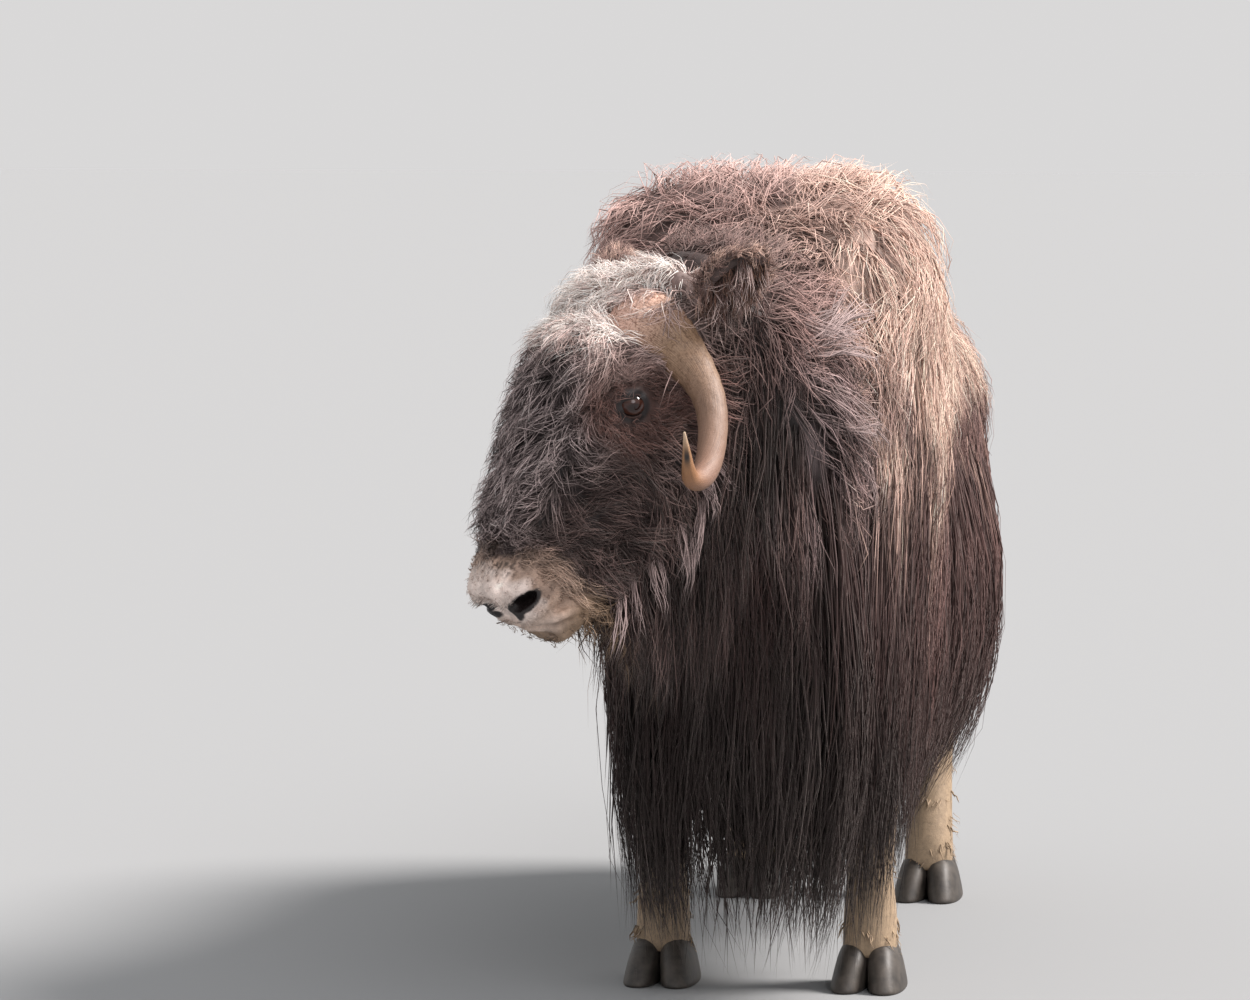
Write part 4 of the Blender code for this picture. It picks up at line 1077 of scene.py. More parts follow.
def strand_mesh(name, paths, outs, widths, colours, root_uv):
    """One mesh of many strands. A strand's cross-section is a low triangle whose width
    falls off as (1 - s)^0.6, and its last ring is a point. Its patch on the bake map
    has the way round it across, and the way along it upwards."""
    count, rings = paths.shape[:2]
    along = unit(np.gradient(paths, axis=1))
    across = unit(np.cross(along, outs))
    out = np.cross(across, along)
    s = np.arange(rings - 1) / (rings - 1)
    w = widths[:, None, None] / 2 * ((1 - s) ** 0.6 * np.minimum(1, 0.75 + s))[:, None]
    h = w * 0.45
    body, a, o = paths[:, :-1], across[:, :-1] * w, out[:, :-1] * h
    rows = np.stack((body + a - o, body + o, body - a - o), 2)
    points = np.concatenate((rows.reshape(count, -1, 3), paths[:, -1:]), 1)
    each = points.shape[1]
    ring, corner = np.meshgrid(np.arange(rings - 2), np.arange(3), indexing="ij")
    ring, corner = ring.ravel(), corner.ravel()
    after = (corner + 1) % 3
    quads = np.stack(
        (3 * ring + corner, 3 * ring + after, 3 * ring + 3 + after, 3 * ring + 3 + corner), 1
    )
    last = 3 * (rings - 2)
    corners = np.arange(3)
    tips = np.stack((last + corners, last + (corners + 1) % 3, np.full(3, 3 * (rings - 1))), 1)
    root = np.array((2, 1, 0))
    loops = np.concatenate((quads.ravel(), tips.ravel(), root))
    sizes = np.concatenate((np.full(len(quads), 4), np.full(4, 3)))
    level = rings - 1
    tip_v = np.tile((rings - 2, rings - 2, rings - 1), 3)
    quad_v = np.stack((ring, ring, ring + 1, ring + 1), 1).ravel()
    v = np.concatenate((quad_v, tip_v, (0, 0, 0))) / level
    quad_u = np.stack((corner, corner + 1, corner + 1, corner), 1).ravel()
    tip_u = np.stack((corners, corners + 1, corners + 0.5), 1).ravel()
    u = np.concatenate((quad_u, tip_u, (2, 1, 0))) / 3
    uv = np.stack((u - 0.5, v - 0.5), 1) * PATCH

    starts = np.arange(count)[:, None]
    all_loops = (loops[None] + starts * each).ravel()
    all_sizes = np.tile(sizes, count)
    mesh = bpy.data.meshes.new(name)
    mesh.vertices.add(count * each)
    flat = (points.reshape(-1, 3) + SHIFT).astype(np.float32)
    mesh.vertices.foreach_set("co", flat.ravel())
    mesh.loops.add(len(all_loops))
    mesh.loops.foreach_set("vertex_index", all_loops.astype(np.int32))
    mesh.polygons.add(len(all_sizes))
    first = np.concatenate(((0,), np.cumsum(all_sizes)[:-1])).astype(np.int32)
    mesh.polygons.foreach_set("loop_start", first)
    mesh.update(calc_edges=True)
    smooth_shaded(mesh)
    layer = mesh.uv_layers.new(name="OFBake")
    map_points = (root_uv[:, None, :] + uv[None]).astype(np.float32)
    layer.data.foreach_set("uv", map_points.ravel())
    # Painted highlight and shade on each strand: the corner on its ridge is lightened and its two
    # edge corners darkened.
    ridge = np.tile((0.80, 1.22, 0.88), rings - 1)[None, :, None]
    shown = np.repeat(colours[:, :-1], 3, axis=1) * ridge
    shown = np.concatenate((shown, colours[:, -1:]), 1)
    put(mesh, "coat_colour", np.clip(shown, 0, 0.95).reshape(-1, 3))
    return mesh


def body_unwrap(points):
    """A cylinder's unwrap of the body: along it, and round it."""
    u = (points[:, 1] + 0.75) / 2.1
    v = 0.5 + np.arctan2(points[:, 0], points[:, 2] - 0.80) / (2 * math.pi)
    return np.clip(np.stack((u, v), 1) * 0.98 + 0.01, 0.003, 0.997)


def head_unwrap(points):
    """A cylinder's unwrap of the head: along it, and round it."""
    behind, above, leftward = from_nose(points)
    u = (behind + 0.05) / 0.80
    v = 0.5 + np.arctan2(leftward, above + 0.05) / (2 * math.pi)
    return np.clip(np.stack((u, v), 1) * 0.98 + 0.01, 0.003, 0.997)


def leg_unwrap(points):
    """A cylinder's unwrap of each leg, the four side by side."""
    hind = points[:, 1] > 0.4
    centre_y = np.where(hind, HINDLEG_Y, FORELEG_Y)
    column = hind * 2 + (points[:, 0] > 0)
    centre_x = np.where(points[:, 0] > 0, LEG_SPREAD, -LEG_SPREAD)
    round_it = np.arctan2(points[:, 0] - centre_x, points[:, 1] - centre_y)
    u = (column + 0.5 + round_it / (2 * math.pi) * 0.96) / 4
    return np.clip(np.stack((u, points[:, 2] / 0.8), 1), 0.003, 0.997)


class Coat:
    """One piece of the coat, gathered from several growths and made into one mesh."""

    def __init__(self, name, seed, slot, finish, replaced=()):
        self.name, self.slot, self.finish, self.replaced = name, slot, finish, replaced
        self.rng = np.random.default_rng(seed)
        self.groups = []

    def grow(self, path, out, cut, colour=coat_colour, tone=0.16, root=0.45):
        """Adds the locks of these guides, each strand with its width and colours, and painted shade
        towards its root.
        """
        rng = self.rng
        strands, ups, whose, fine = drawn_out(path, out, cut, rng)
        s = np.linspace(0, 1, strands.shape[1])[None, :]
        lock_tone = rng.normal(0, tone, len(path))[whose]
        chance = np.clip(rng.normal(0.5, 0.22, len(strands)) + lock_tone, 0, 1)
        # Fine strands lighter, thick ones darker: partly the hairs' own light tips, partly painted
        # glints on the fine hairs and painted shade among the thick ones.
        chance = np.where(fine, 0.55 + 0.45 * chance, 0.60 * chance)
        marked = strands[:, :1] * 0.4 + strands * 0.6
        shades = colour(marked, s, chance[:, None])
        # Painted shade deep in the coat: each strand darkens towards its root, down to the share
        # root there.
        painted_root_shade = root + (1 - root) * rise(0.0, 0.45, s)
        widths = cut.width * rng.uniform(0.75, 1.25, len(strands))
        widths = widths * np.where(fine, 0.55, 1.20)
        twist = rng.normal(0, 0.45, (len(strands), 1, 3))
        self.groups.append((strands, unit(ups + twist), widths, shades * painted_root_shade[..., None]))

    def comb(self, cut, *guides, colour=coat_colour, root=0.45, **rest):
        """Combs guides along a form, and adds their locks."""
        path, out = combed(*guides, **rest)
        self.grow(path, out, cut, colour, root=root)

    def finished(self, unwrap=body_unwrap):
        """The piece itself. Growths of few rings are given more, so that all match."""
        rings = max(group[0].shape[1] for group in self.groups)
        columns = [[], [], [], []]
        for paths, outs, widths, colours in self.groups:
            if paths.shape[1] < rings:
                paths, outs, colours = (resampled(x, rings) for x in (paths, outs, colours))
            for column, values in zip(columns, (paths, outs, widths, colours)):
                column.append(values)
        paths, outs, widths, colours = (np.concatenate(column) for column in columns)
        mesh = strand_mesh(self.name, paths, outs, widths, colours, unwrap(paths[:, 0]))
        mesh.materials.append(self.finish)
        obj = bpy.data.objects.new(self.name, mesh)
        bpy.context.scene.collection.objects.link(obj)
        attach(obj, "root")
        if self.replaced:
            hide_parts(*self.replaced)
        triangles = sum(len(p.vertices) - 2 for p in mesh.polygons)
        print(f"{self.name}: {len(paths)} strands, {triangles} triangles")
        return obj


def resampled(values, rings):
    """Rows of values along strands, at another number of even steps."""
    k = np.linspace(0, values.shape[1] - 1, rings)
    i = np.minimum(k.astype(int), values.shape[1] - 2)
    f = (k - i)[None, :, None]
    return values[:, i] * (1 - f) + values[:, i + 1] * f


def random_ways(count, size, rng):
    """Small random vectors that turn each lock its own way."""
    return rng.normal(0, size, (count, 3))


def steady(way, size, count, rng):
    """A lie of one direction everywhere, from which each lock turns its own way."""
    jitter = random_ways(count, size, rng)
    return lambda points, normals: way + jitter


def hem(points):
    """The height of the coat's hem below each point: lowest at the chest."""
    y = points[:, 1]
    return 0.085 + 0.115 * rise(-0.30, -0.02, y) + 0.08 * rise(0.6, 1.05, y)


def body_flow(jitter):
    """The lie of the trunk's coat: back along the top, and down on the sides."""

    def flow(points, normals):
        down = np.clip(np.abs(normals[:, 0]) * 1.25, 0, 1)
        front = rise(0.05, -0.25, points[:, 1])
        way = REAR * (0.85 - 0.75 * down - 0.4 * front)[:, None]
        way = way - UP * (0.35 + 1.15 * down + 0.4 * front)[:, None]
        swirl = 0.40 * ripple(points, 0.26, 41) + 0.22 * ripple(points, 0.12, 42)
        return way + np.cross(normals, way) * swirl[:, None] + jitter

    return flow


def grow_trunk(coat, count, t_span, angle_span, rng, tousle=0.28):
    """The hump's, saddle's and sides' coat: short and unruly on the hump, longer and
    straighter down the sides."""
    t, angle = places(TORSO, count, t_span, angle_span, rng)
    points, normals = TORSO.point(t, angle), TORSO.normal(t, angle)
    down = rise(0.25, 0.95, np.abs(normals[:, 0]))
    length = 0.115 + 0.13 * down + 0.03 * rise(0.3, 0.8, points[:, 1])
    length = length * rng.uniform(0.7, 1.25, len(t))
    lift = COAT_DEPTH * (0.25 + 0.35 * rng.random(len(t)))
    jitter = random_ways(len(t), tousle, rng)
    crest = (down < 0.5) & (points[:, 1] < 0.40)
    for chosen, cut in (
        (crest, Cut(7, 0.020, 0.30, 0.0031, wave=0.014, turns=1.0, frizz=0.0008, loft=0.016)),
        (~crest, Cut(7, 0.020, 0.45, 0.0031, wave=0.011, turns=1.0, frizz=0.0006, loft=0.010)),
    ):
        flow, there = body_flow(jitter[chosen]), (t[chosen], angle[chosen])
        guides = (TORSO, *there, flow, length[chosen], lift[chosen], 5)
        coat.comb(cut, *guides, wander=0.010, root=0.60)


def grow_skirt(coat, side, share, rng):
    """One flank's guard hair, from the widest part of the body down to the hem. It
    draws in at the shoulder and swells over the belly."""
    cut = Cut(7, 0.028, 0.50, 0.0042, wave=0.014, turns=1.3, frizz=0.001, loft=0.012)
    for count, span, lift in (
        (150, (100, 125), 0.004),
        (215, (78, 102), 0.014),
        (200, (52, 84), 0.022),
    ):
        spans = sorted(side * np.array(span))
        t, angle = places(TORSO, int(count * share), (0.13, 0.96), spans, rng)
        points = TORSO.point(t, angle)
        length = (points[:, 2] - hem(points)) * (1.10 - 0.48 * rng.random(len(t)) ** 1.6)
        swell = np.interp(points[:, 1], (0.0, 0.30, 0.60, 0.95), (0.02, 0.54, 0.62, 0.26))
        drift = np.interp(points[:, 1], (0.0, 0.30), (-0.07, 0.0))
        flow = steady(-UP + REAR * 0.12, 0.14, len(t), rng)
        guides = (TORSO, t, angle, flow, length, lift, 7, swell)
        coat.comb(cut, *guides, drift=drift, wander=0.014)


def build_coat(finishes):
    """All the pieces of the coat."""
    long_hair, wool, short_hair = finishes
    hump = Coat("hump_coat", 101, "back_coat", wool)
    grow_trunk(hump, 800, (0.06, 0.44), (-84, 84), hump.rng)
    grow_trunk(hump, 130, (0.10, 0.25), (-55, 62), hump.rng, 1.2)
    hump.finished()

    saddle = Coat("saddle_coat", 102, "back_coat", long_hair)
    grow_trunk(saddle, 700, (0.42, 0.995), (-80, 80), saddle.rng)
    saddle.finished()

    for name, side in SIDES:
        skirt = Coat(f"skirt_coat_{name}", 110 + side, "dark_coat", long_hair, [f"skirt_{name}"])
        grow_skirt(skirt, side, 0.90 if side > 0 else 0.72, skirt.rng)
        skirt.finished()

    grow_chest(long_hair)
    grow_rump(long_hair)
    grow_mane(long_hair)
    grow_beard(long_hair)
    grow_face(wool, short_hair)
    grow_muzzle(short_hair)
    grow_ears(long_hair)
    grow_legs(short_hair)


def grow_chest(long_hair):
    """The chest's apron: hair from the brisket and the front of the trunk that falls
    nearly to the ground, closed in the middle."""
    names = ["chest_apron_left", "chest_apron_right"]
    chest = Coat("chest_coat", 120, "dark_coat", long_hair, names)
    rng = chest.rng
    cut = Cut(7, 0.028, 0.55, 0.0047, wave=0.014, turns=1.3, frizz=0.001, loft=0.014)
    for form, count, t_span, span, swell, drift in (
        (TORSO, 150, (0.01, 0.16), (62, 150), 0.05, -0.05),
        (TORSO, 120, (0.01, 0.16), (-150, -62), 0.00, -0.09),
        (TORSO, 110, (0.01, 0.26), (140, 220), 0.00, 0.0),
        (NECK, 200, (0.08, 0.45), (100, 260), 0.20, 0.0),
    ):
        t, angle = places(form, count, t_span, span, rng)
        points = form.point(t, angle)
        length = (points[:, 2] - hem(points)) * rng.uniform(0.78, 1.06, len(t))
        flow = steady(-UP, 0.14, len(t), rng)
        guides = (form, t, angle, flow, length, 0.018, 7, swell)
        chest.comb(cut, *guides, drift=drift, wander=0.018)
    chest.finished()


def held_in(path):
    """The rump's loose locks, drawn in where they would stand out too far behind."""
    return path - REAR * 0.75 * np.maximum(path[..., 1:2] - RUMP_Y - 0.03, 0)


def grow_rump(long_hair):
    """The rump's coat, which hides the tail."""
    names = ["rump_coat_left", "rump_coat_right"]
    rump = Coat("rump_coat", 130, "dark_coat", long_hair, names)
    rng = rump.rng
    t, angle = places(TORSO, 270, (0.84, 0.995), (-140, 140), rng)
    points = TORSO.point(t, angle)
    length = (points[:, 2] - hem(points)) * rng.uniform(0.6, 1.0, len(t))
    flow = steady(REAR * 0.35 - UP, 0.12, len(t), rng)
    cut = Cut(7, 0.034, 0.50, 0.0056, wave=0.013, turns=1.3, frizz=0.001, loft=0.016)
    guides = (TORSO, t, angle, flow, length, 0.026, 7, 0.20)
    rump.comb(cut, *guides, sway=0.10, wander=0.016, hang=(0.80, 0.25))

    for form, count, span, arc, reach in (
        (TORSO, 110, (0.84, 0.99), 88, 0.19),
        (tail_form(), 36, (0.08, 0.95), 180, 0.15),
    ):
        t, angle = places(form, count, span, (-arc, arc), rng)
        length = reach * rng.uniform(0.7, 1.3, len(t))
        flow = steady(REAR * 0.4 - UP, 0.55, len(t), rng)
        path, out = combed(form, t, angle, flow, length, 0.030, 5, 0.20, sway=0.20)
        rump.grow(held_in(path), out, cut)

    count = 60
    turn, wide = rng.uniform(-math.pi, math.pi, count), rng.random(count)
    ring = TORSO.point(np.full(count, 0.995), turn)
    spot = blend(ring.mean(0), ring, np.sqrt(wide)) + UP * 0.03
    reach = ((spot[:, 2] - hem(spot)) * rng.uniform(0.45, 0.95, count))[:, None, None]
    s = np.linspace(0, 1, 7)[:, None]
    off = 0.026 + 0.045 * rise(0.09, 0.02, np.abs(spot[:, 0]))[:, None, None] * np.sin(3 * s)
    way = unit(-UP + REAR * 0.06 + random_ways(count, 0.07, rng))[:, None]
    path = spot[:, None] + way * reach * s + REAR * off * rise(0.0, 0.12, s)
    rump.grow(held_in(path), np.broadcast_to(REAR, path.shape), cut)
    rump.finished()


NECK_BACK = unit((0.0, -0.16, 0.0) - on_head(0.52, 0.0, 0.0) * (1, 1, 0))


def neck_flow(jitter):
    """The lie of the mane: back along the neck, and down on its sides."""

    def flow(points, normals):
        low = (1 - normals[:, 2]) / 2
        way = NECK_BACK * (1.0 - 0.60 * low)[:, None] - UP * (0.25 + 1.0 * low)[:, None]
        swirl = 0.45 * ripple(points, 0.20, 43) + 0.25 * ripple(points, 0.09, 44)
        return way + np.cross(normals, way) * swirl[:, None] + jitter

    return flow


def grow_mane(long_hair):
    """The mane all round the neck, short and curly along the crest."""
    mane = Coat("mane_coat", 140, "dark_coat", long_hair)
    rng = mane.rng
    t, angle = places(NECK, 770, (0.16, 0.97), (-180, 180), rng)
    normals = NECK.normal(t, angle)
    low = (1 - normals[:, 2]) / 2
    length = (0.09 + 0.24 * rise(0.1, 0.8, low)) * rng.uniform(0.7, 1.3, len(t))
    lift = 0.016 + 0.018 * rng.random(len(t))
    flow = neck_flow(random_ways(len(t), 0.25, rng))
    cut = Cut(7, 0.020, 0.48, 0.0032, wave=0.013, turns=1.0, frizz=0.0008)
    guides = (NECK, t, angle, flow, length, lift, 5, 0.10)
    mane.comb(cut, *guides, wander=0.016, hang=(0.0, -0.4))

    def tufts(form, count, t_span, span, reach, lift, tousle, wander, cut=cut, back=0.0, **rest):
        """Locks in a part of the mane, with a range of lengths, turned by the tousle."""
        t, angle = places(form, count, t_span, span, rng, rest.get("share"))
        length = rng.uniform(*reach, len(t))
        flow = neck_flow(REAR * back + random_ways(len(t), tousle, rng))
        guides = (form, t, angle, flow, length, lift, 5, 0.10)
        mane.comb(cut, *guides, wander=wander, colour=rest.get("colour", coat_colour))

    tufts(NECK, 36, (0.66, 0.86), (60, 100), (0.07, 0.15), 0.018, 1.0, 0.012)
    tufts(NECK, 24, (0.66, 0.86), (-100, -60), (0.07, 0.15), 0.018, 1.0, 0.012)
    tufts(NECK, 34, (0.20, 0.46), (58, 112), (0.10, 0.20), 0.026, 1.0, 0.012)
    loose = Cut(10, 0.013, 0.70, 0.0030, wave=0.010, turns=1.1, frizz=0.0008)
    shed = {"cut": loose, "back": 0.9, "colour": shed_colour}
    tufts(NECK, 14, (0.45, 0.72), (62, 104), (0.14, 0.26), 0.056, 0.25, 0.014, **shed)
    behind_horns = lambda p, n: clear_share(p) * rise(0.42, 0.50, from_nose(p)[0])
    for count, t_span, span, tousle in (
        (70, (0.78, 0.99), (-130, 130), 0.25),
        (50, (0.82, 0.995), (12, 105), 1.0),
        (26, (0.82, 0.995), (-105, -12), 1.0),
    ):
        where = (SKULL, count, t_span, span, (0.07, 0.14))
        tufts(*where, 0.014, tousle, 0.010, share=behind_horns)
    mane.finished()


def grow_beard(long_hair):
    """The beard and the long hair of the jaw's edge."""
    beard = Coat("beard_coat", 150, "dark_coat", long_hair, ["beard"])
    rng = beard.rng
    t, angle = places(JAW, 360, (0.26, 0.985), (92, 268), rng)
    points = JAW.point(t, angle)
    behind = from_nose(points)[0]
    length = np.interp(behind, (0.09, 0.14, 0.22, 0.32, 0.45), (0.05, 0.14, 0.28, 0.38, 0.36))
    length = length * rng.uniform(0.55, 1.1, len(t))
    flow = steady(-HEAD_FORWARD * 0.7 - UP * 0.9, 0.18, len(t), rng)
    cut = Cut(7, 0.016, 0.50, 0.0029, wave=0.011, turns=1.1, frizz=0.0008, loft=0.008)
    guides = (JAW, t, angle, flow, length, 0.012, 6, 0.10)
    beard.comb(cut, *guides, sway=0.16, wander=0.014, hang=(-0.05, -0.55))

    for form, count, t_span, span in (
        (SKULL, 110, (0.50, 0.95), (78, 150)),
        (SKULL, 70, (0.50, 0.95), (-150, -78)),
        (JAW, 100, (0.45, 0.98), (40, 105)),
        (JAW, 60, (0.45, 0.98), (-105, -40)),
    ):
        t, angle = places(form, count, t_span, span, rng, clear_share)
        length = rng.uniform(0.11, 0.24, len(t))
        flow = face_flow(random_ways(len(t), 0.25, rng))
        guides = (form, t, angle, flow, length, 0.022, 6, 0.25)
        beard.comb(cut, *guides, wander=0.014, hang=(-0.3, -0.9))

    t, angle = places(JAW, 11, (0.40, 0.74), (74, 116), rng)
    length = rng.uniform(0.10, 0.20, len(t))
    flow = face_flow(random_ways(len(t), 0.2, rng))
    cut = Cut(11, 0.010, 0.75, 0.0030, wave=0.006, turns=1.2, frizz=0.0008)
    guides = (JAW, t, angle, flow, length, 0.030, 6, 0.05)
    beard.comb(cut, *guides, colour=shed_colour, wander=0.014, hang=(0.1, -0.6))
    beard.finished(head_unwrap)


def shed_colour(points, along, chance):
    """Loose locks of pale wool that hang from the jaw and the neck."""
    colour = blend(MID, (0.50, 0.39, 0.38), 0.25 + 0.65 * along)
    return colour * (0.55 + 0.70 * chance)[..., None]


def clear_share(points, normals=None, near=0.55, far=0.72):
    """0 where no hair may root: closer to a horn's middle than a share of its half
    width, and in the eye's opening and at its rim; 1 elsewhere."""
    share = np.ones(len(points))
    for _, side in SIDES:
        path, halves = horn_path(side, 40)
        away = np.linalg.norm(points[:, None] - path[None], axis=-1)
        share = share * rise(near, far, (away / halves.max(1)[None]).min(1))
    for centre, *_ in EYES:
        share = share * rise(0.027, 0.032, np.linalg.norm(points - centre, axis=1))
    return share


def face_flow(jitter):
    """The lie of the face's hair: forwards and down the forehead and bridge, back and
    down the cheeks, and away from the eyes, with swirls."""

    def flow(points, normals):
        behind, above, _ = from_nose(points)
        way = -HEAD_FORWARD * 0.55 - HEAD_DORSAL * 1.05
        low = rise(-0.09, -0.18, above) * rise(0.08, 0.14, behind)
        way = blend(way, -HEAD_FORWARD * 0.62 - UP * 0.80, low)
        top = rise(0.20, 0.70, normals @ HEAD_DORSAL) * rise(0.085, 0.14, behind)
        way = blend(way, HEAD_FORWARD * 0.95 - UP * 0.10, top)
        swirl = 0.38 * ripple(points, 0.15, 45) + 0.30 * ripple(points, 0.06, 46)
        way = way + np.cross(normals, way) * (swirl * rise(0.06, 0.14, behind))[:, None]
        for centre, *_ in EYES:
            away = points - centre
            near = rise(0.080, 0.035, np.linalg.norm(away, axis=1))
            way = way + unit(away) * (near * 1.1)[:, None]
        return way + jitter

    return flow


def near_eye(points, normals):
    """Where the short hair round the eyes roots."""
    return clear_share(points) * rise(0.085, 0.055, eye_gap(points))


def on_parting(points, normals):
    """Where the hair of the bridge parts from the cheeks' hair."""
    parting = rise(0.2, 0.7, normals @ HEAD_DORSAL)
    parting = rise(0.25, 0.80, 4 * parting * (1 - parting))
    return clear_share(points) * parting * rise(0.09, 0.13, from_nose(points)[0])


def all_but_muzzle(points, normals):
    """Where the face's longer hair roots."""
    return clear_share(points) * rise(0.052, 0.068, from_nose(points)[0])


def face_locks(form, count, t_span, angle_span, rng, tousle, share=all_but_muzzle):
    """The guides of one growth of the face's hair: short at the eyes, longest on the
    cheeks, and standing well out on the bridge and forehead."""
    t, angle = places(form, count, t_span, angle_span, rng, share)
    points, normals = form.point(t, angle), form.normal(t, angle)
    behind, above, _ = from_nose(points)
    top = rise(0.2, 0.7, normals @ HEAD_DORSAL)
    far = rise(0.030, 0.090, eye_gap(points))
    length = 0.028 + 0.050 * rise(0.06, 0.20, behind) + 0.032 * rise(0.0, -0.1, above)
    length = length * (0.22 + 0.78 * far) * rng.uniform(0.7, 1.35, len(t))
    lift = 0.006 + 0.009 * top * rise(0.08, 0.20, behind) + 0.009 * rng.random(len(t))
    lift = lift * (0.45 + 0.55 * far)
    flow = face_flow(random_ways(len(t), tousle, rng))
    bulges = face_bulges(1) + face_bulges(-1)
    return combed(
        form, t, angle, flow, length, lift, 5, 0.1, wander=0.008, hang=(-0.45, -0.95), bulges=bulges
    )


def cream_colour(points, along, chance):
    """The pale wool of the brow, with a few greyer curls."""
    patch = ripple(points, 0.035, 12)
    colour = blend(CREAM, WOOL, rise(0.5, 1.3, patch) * 0.35)
    shades = 0.95 + 0.30 * chance
    return np.clip(colour * shades[..., None], 0, 0.95)


def grow_face(wool, short_hair):
    """The bridge's, forehead's and cheeks' hair, and the pale wool at the horns."""
    face = Coat("brow_coat", 160, "face_coat", short_hair)
    cut = Cut(6, 0.011, 0.45, 0.0020, wave=0.006, turns=0.9, frizz=0.0004, loft=0.007)
    path, out = face_locks(SKULL, 830, (0.20, 0.96), (-74, 74), face.rng, 0.45)
    face.grow(path, out, cut)
    close = Cut(6, 0.008, 0.35, 0.0018, wave=0.003, turns=0.8, frizz=0.0004, loft=0.004)
    for span, count in (((20, 115), 190), ((-115, -20), 90)):
        path, out = face_locks(SKULL, count, (0.30, 0.92), span, face.rng, 0.35, near_eye)
        face.grow(path, out, close)
    for span, count in (((30, 90), 110), ((-90, -30), 55)):
        path, out = face_locks(SKULL, count, (0.22, 0.66), span, face.rng, 0.8, on_parting)
        face.grow(path, out, cut)
    face.finished(head_unwrap)

    cheeks = Coat("cheek_coat", 162, "face_coat", short_hair)
    for form, count, t_span, angle_span in (
        (SKULL, 510, (0.20, 0.96), (74, 150)),
        (SKULL, 270, (0.20, 0.96), (-150, -74)),
        (JAW, 250, (0.20, 0.92), (40, 110)),
        (JAW, 120, (0.20, 0.92), (-110, -40)),
    ):
        path, out = face_locks(form, count, t_span, angle_span, cheeks.rng, 0.24)
        cheeks.grow(path, out, cut)
    cheeks.finished(head_unwrap)

    tuft = Coat("horn_wool", 161, "face_coat", wool)
    rng = tuft.rng
    cut = Cut(8, 0.012, 0.35, 0.0021, wave=0.006, turns=0.9, frizz=0.0014, loft=0.010)
    bare = lambda p: clear_share(p, near=0.62, far=0.80)
    share = lambda p, n: bare(p) * rise(-0.2, 0.3, n @ HEAD_DORSAL)
    pale = lambda p, n: bare(p) * wool_share(p) * rise(0.1, 0.5, n @ HEAD_DORSAL)
    for form, count, t_span, angle_span, each in (
        (WOOL_PAD, 230, (0.02, 0.98), (-110, 110), share),
        (SKULL, 240, (0.58, 0.98), (-80, 80), pale),
    ):
        t, angle = places(form, count, t_span, angle_span, rng, each)
        length = rng.uniform(0.034, 0.070, len(t))
        right = rise(0.02, -0.08, from_nose(form.point(t, angle))[2])
        lift = rng.uniform(0.008, 0.018, len(t)) + 0.014 * right
        flow = steady(HEAD_FORWARD * 0.6 - HEAD_LEFT * 0.5, 0.5, len(t), rng)
        guides = (form, t, angle, flow, length, lift, 5, 0.1)
        tuft.comb(cut, *guides, colour=cream_colour, root=0.95, wander=0.008)
    tuft.finished(head_unwrap)


def grow_muzzle(short_hair):
    """Short, close hair of the muzzle, lips and chin, parted round the nostrils."""
    muzzle = Coat("muzzle_coat", 170, "face_coat", short_hair)
    rng = muzzle.rng
    cut = Cut(5, 0.007, 0.30, 0.0015, wave=0.0008, frizz=0.0003, loft=0.0015)

    def share(points, normals):
        open_skin = rise(1.04, 1.16, nostril_size(points))
        open_skin = open_skin * rise(0.0080, 0.0095, distance_to(points, NOSE_STRIP))
        return open_skin * rise(0.0045, 0.0065, distance_to(points, MOUTH))

    for form, count, t_span in ((SKULL, 1100, (0.03, 0.34)), (JAW, 310, (0.03, 0.34))):
        span = (-180, 180) if form is SKULL else (70, 290)
        t, angle = places(form, count, t_span, span, rng, share)
        behind = from_nose(form.point(t, angle))[0]
        length = (0.0075 + 0.024 * rise(0.035, 0.10, behind)) * rng.uniform(0.7, 1.3, len(t))
        lift = 0.0012 + 0.0035 * rise(0.035, 0.09, behind)
        flow = face_flow(random_ways(len(t), 0.22, rng))
        muzzle.comb(cut, form, t, angle, flow, length, lift, 3, 0.05, hang=(-0.6, -1.1))
    muzzle.finished(head_unwrap)


def ear_colour(points, along, chance):
    """The ear's hair: brown with a paler rim and cream tufts in the cup."""
    patch = ripple(points, 0.03, 7)
    colour = blend(MID, STRAW, rise(-0.2, 0.9, patch) * 0.6 + 0.2 * along)
    return colour * (0.55 + 0.8 * chance)[..., None]


def dark_ear_colour(points, along, chance):
    """The short fur that lines the cup of the ear."""
    brown = np.array(MID) * (1.5, 1.35, 1.0)
    return blend(DARK, brown, chance) * (0.8 + 0.9 * along * chance)[..., None]


def cup_colour(points, along, chance):
    """The hair that grows out of the cup of the ear: dark, with long pale tufts."""
    light = rise(0.45, 0.70, chance)
    colour = blend(MID, CREAM, light * (0.25 + 0.75 * along))
    return colour * (0.6 + 0.5 * chance)[..., None]


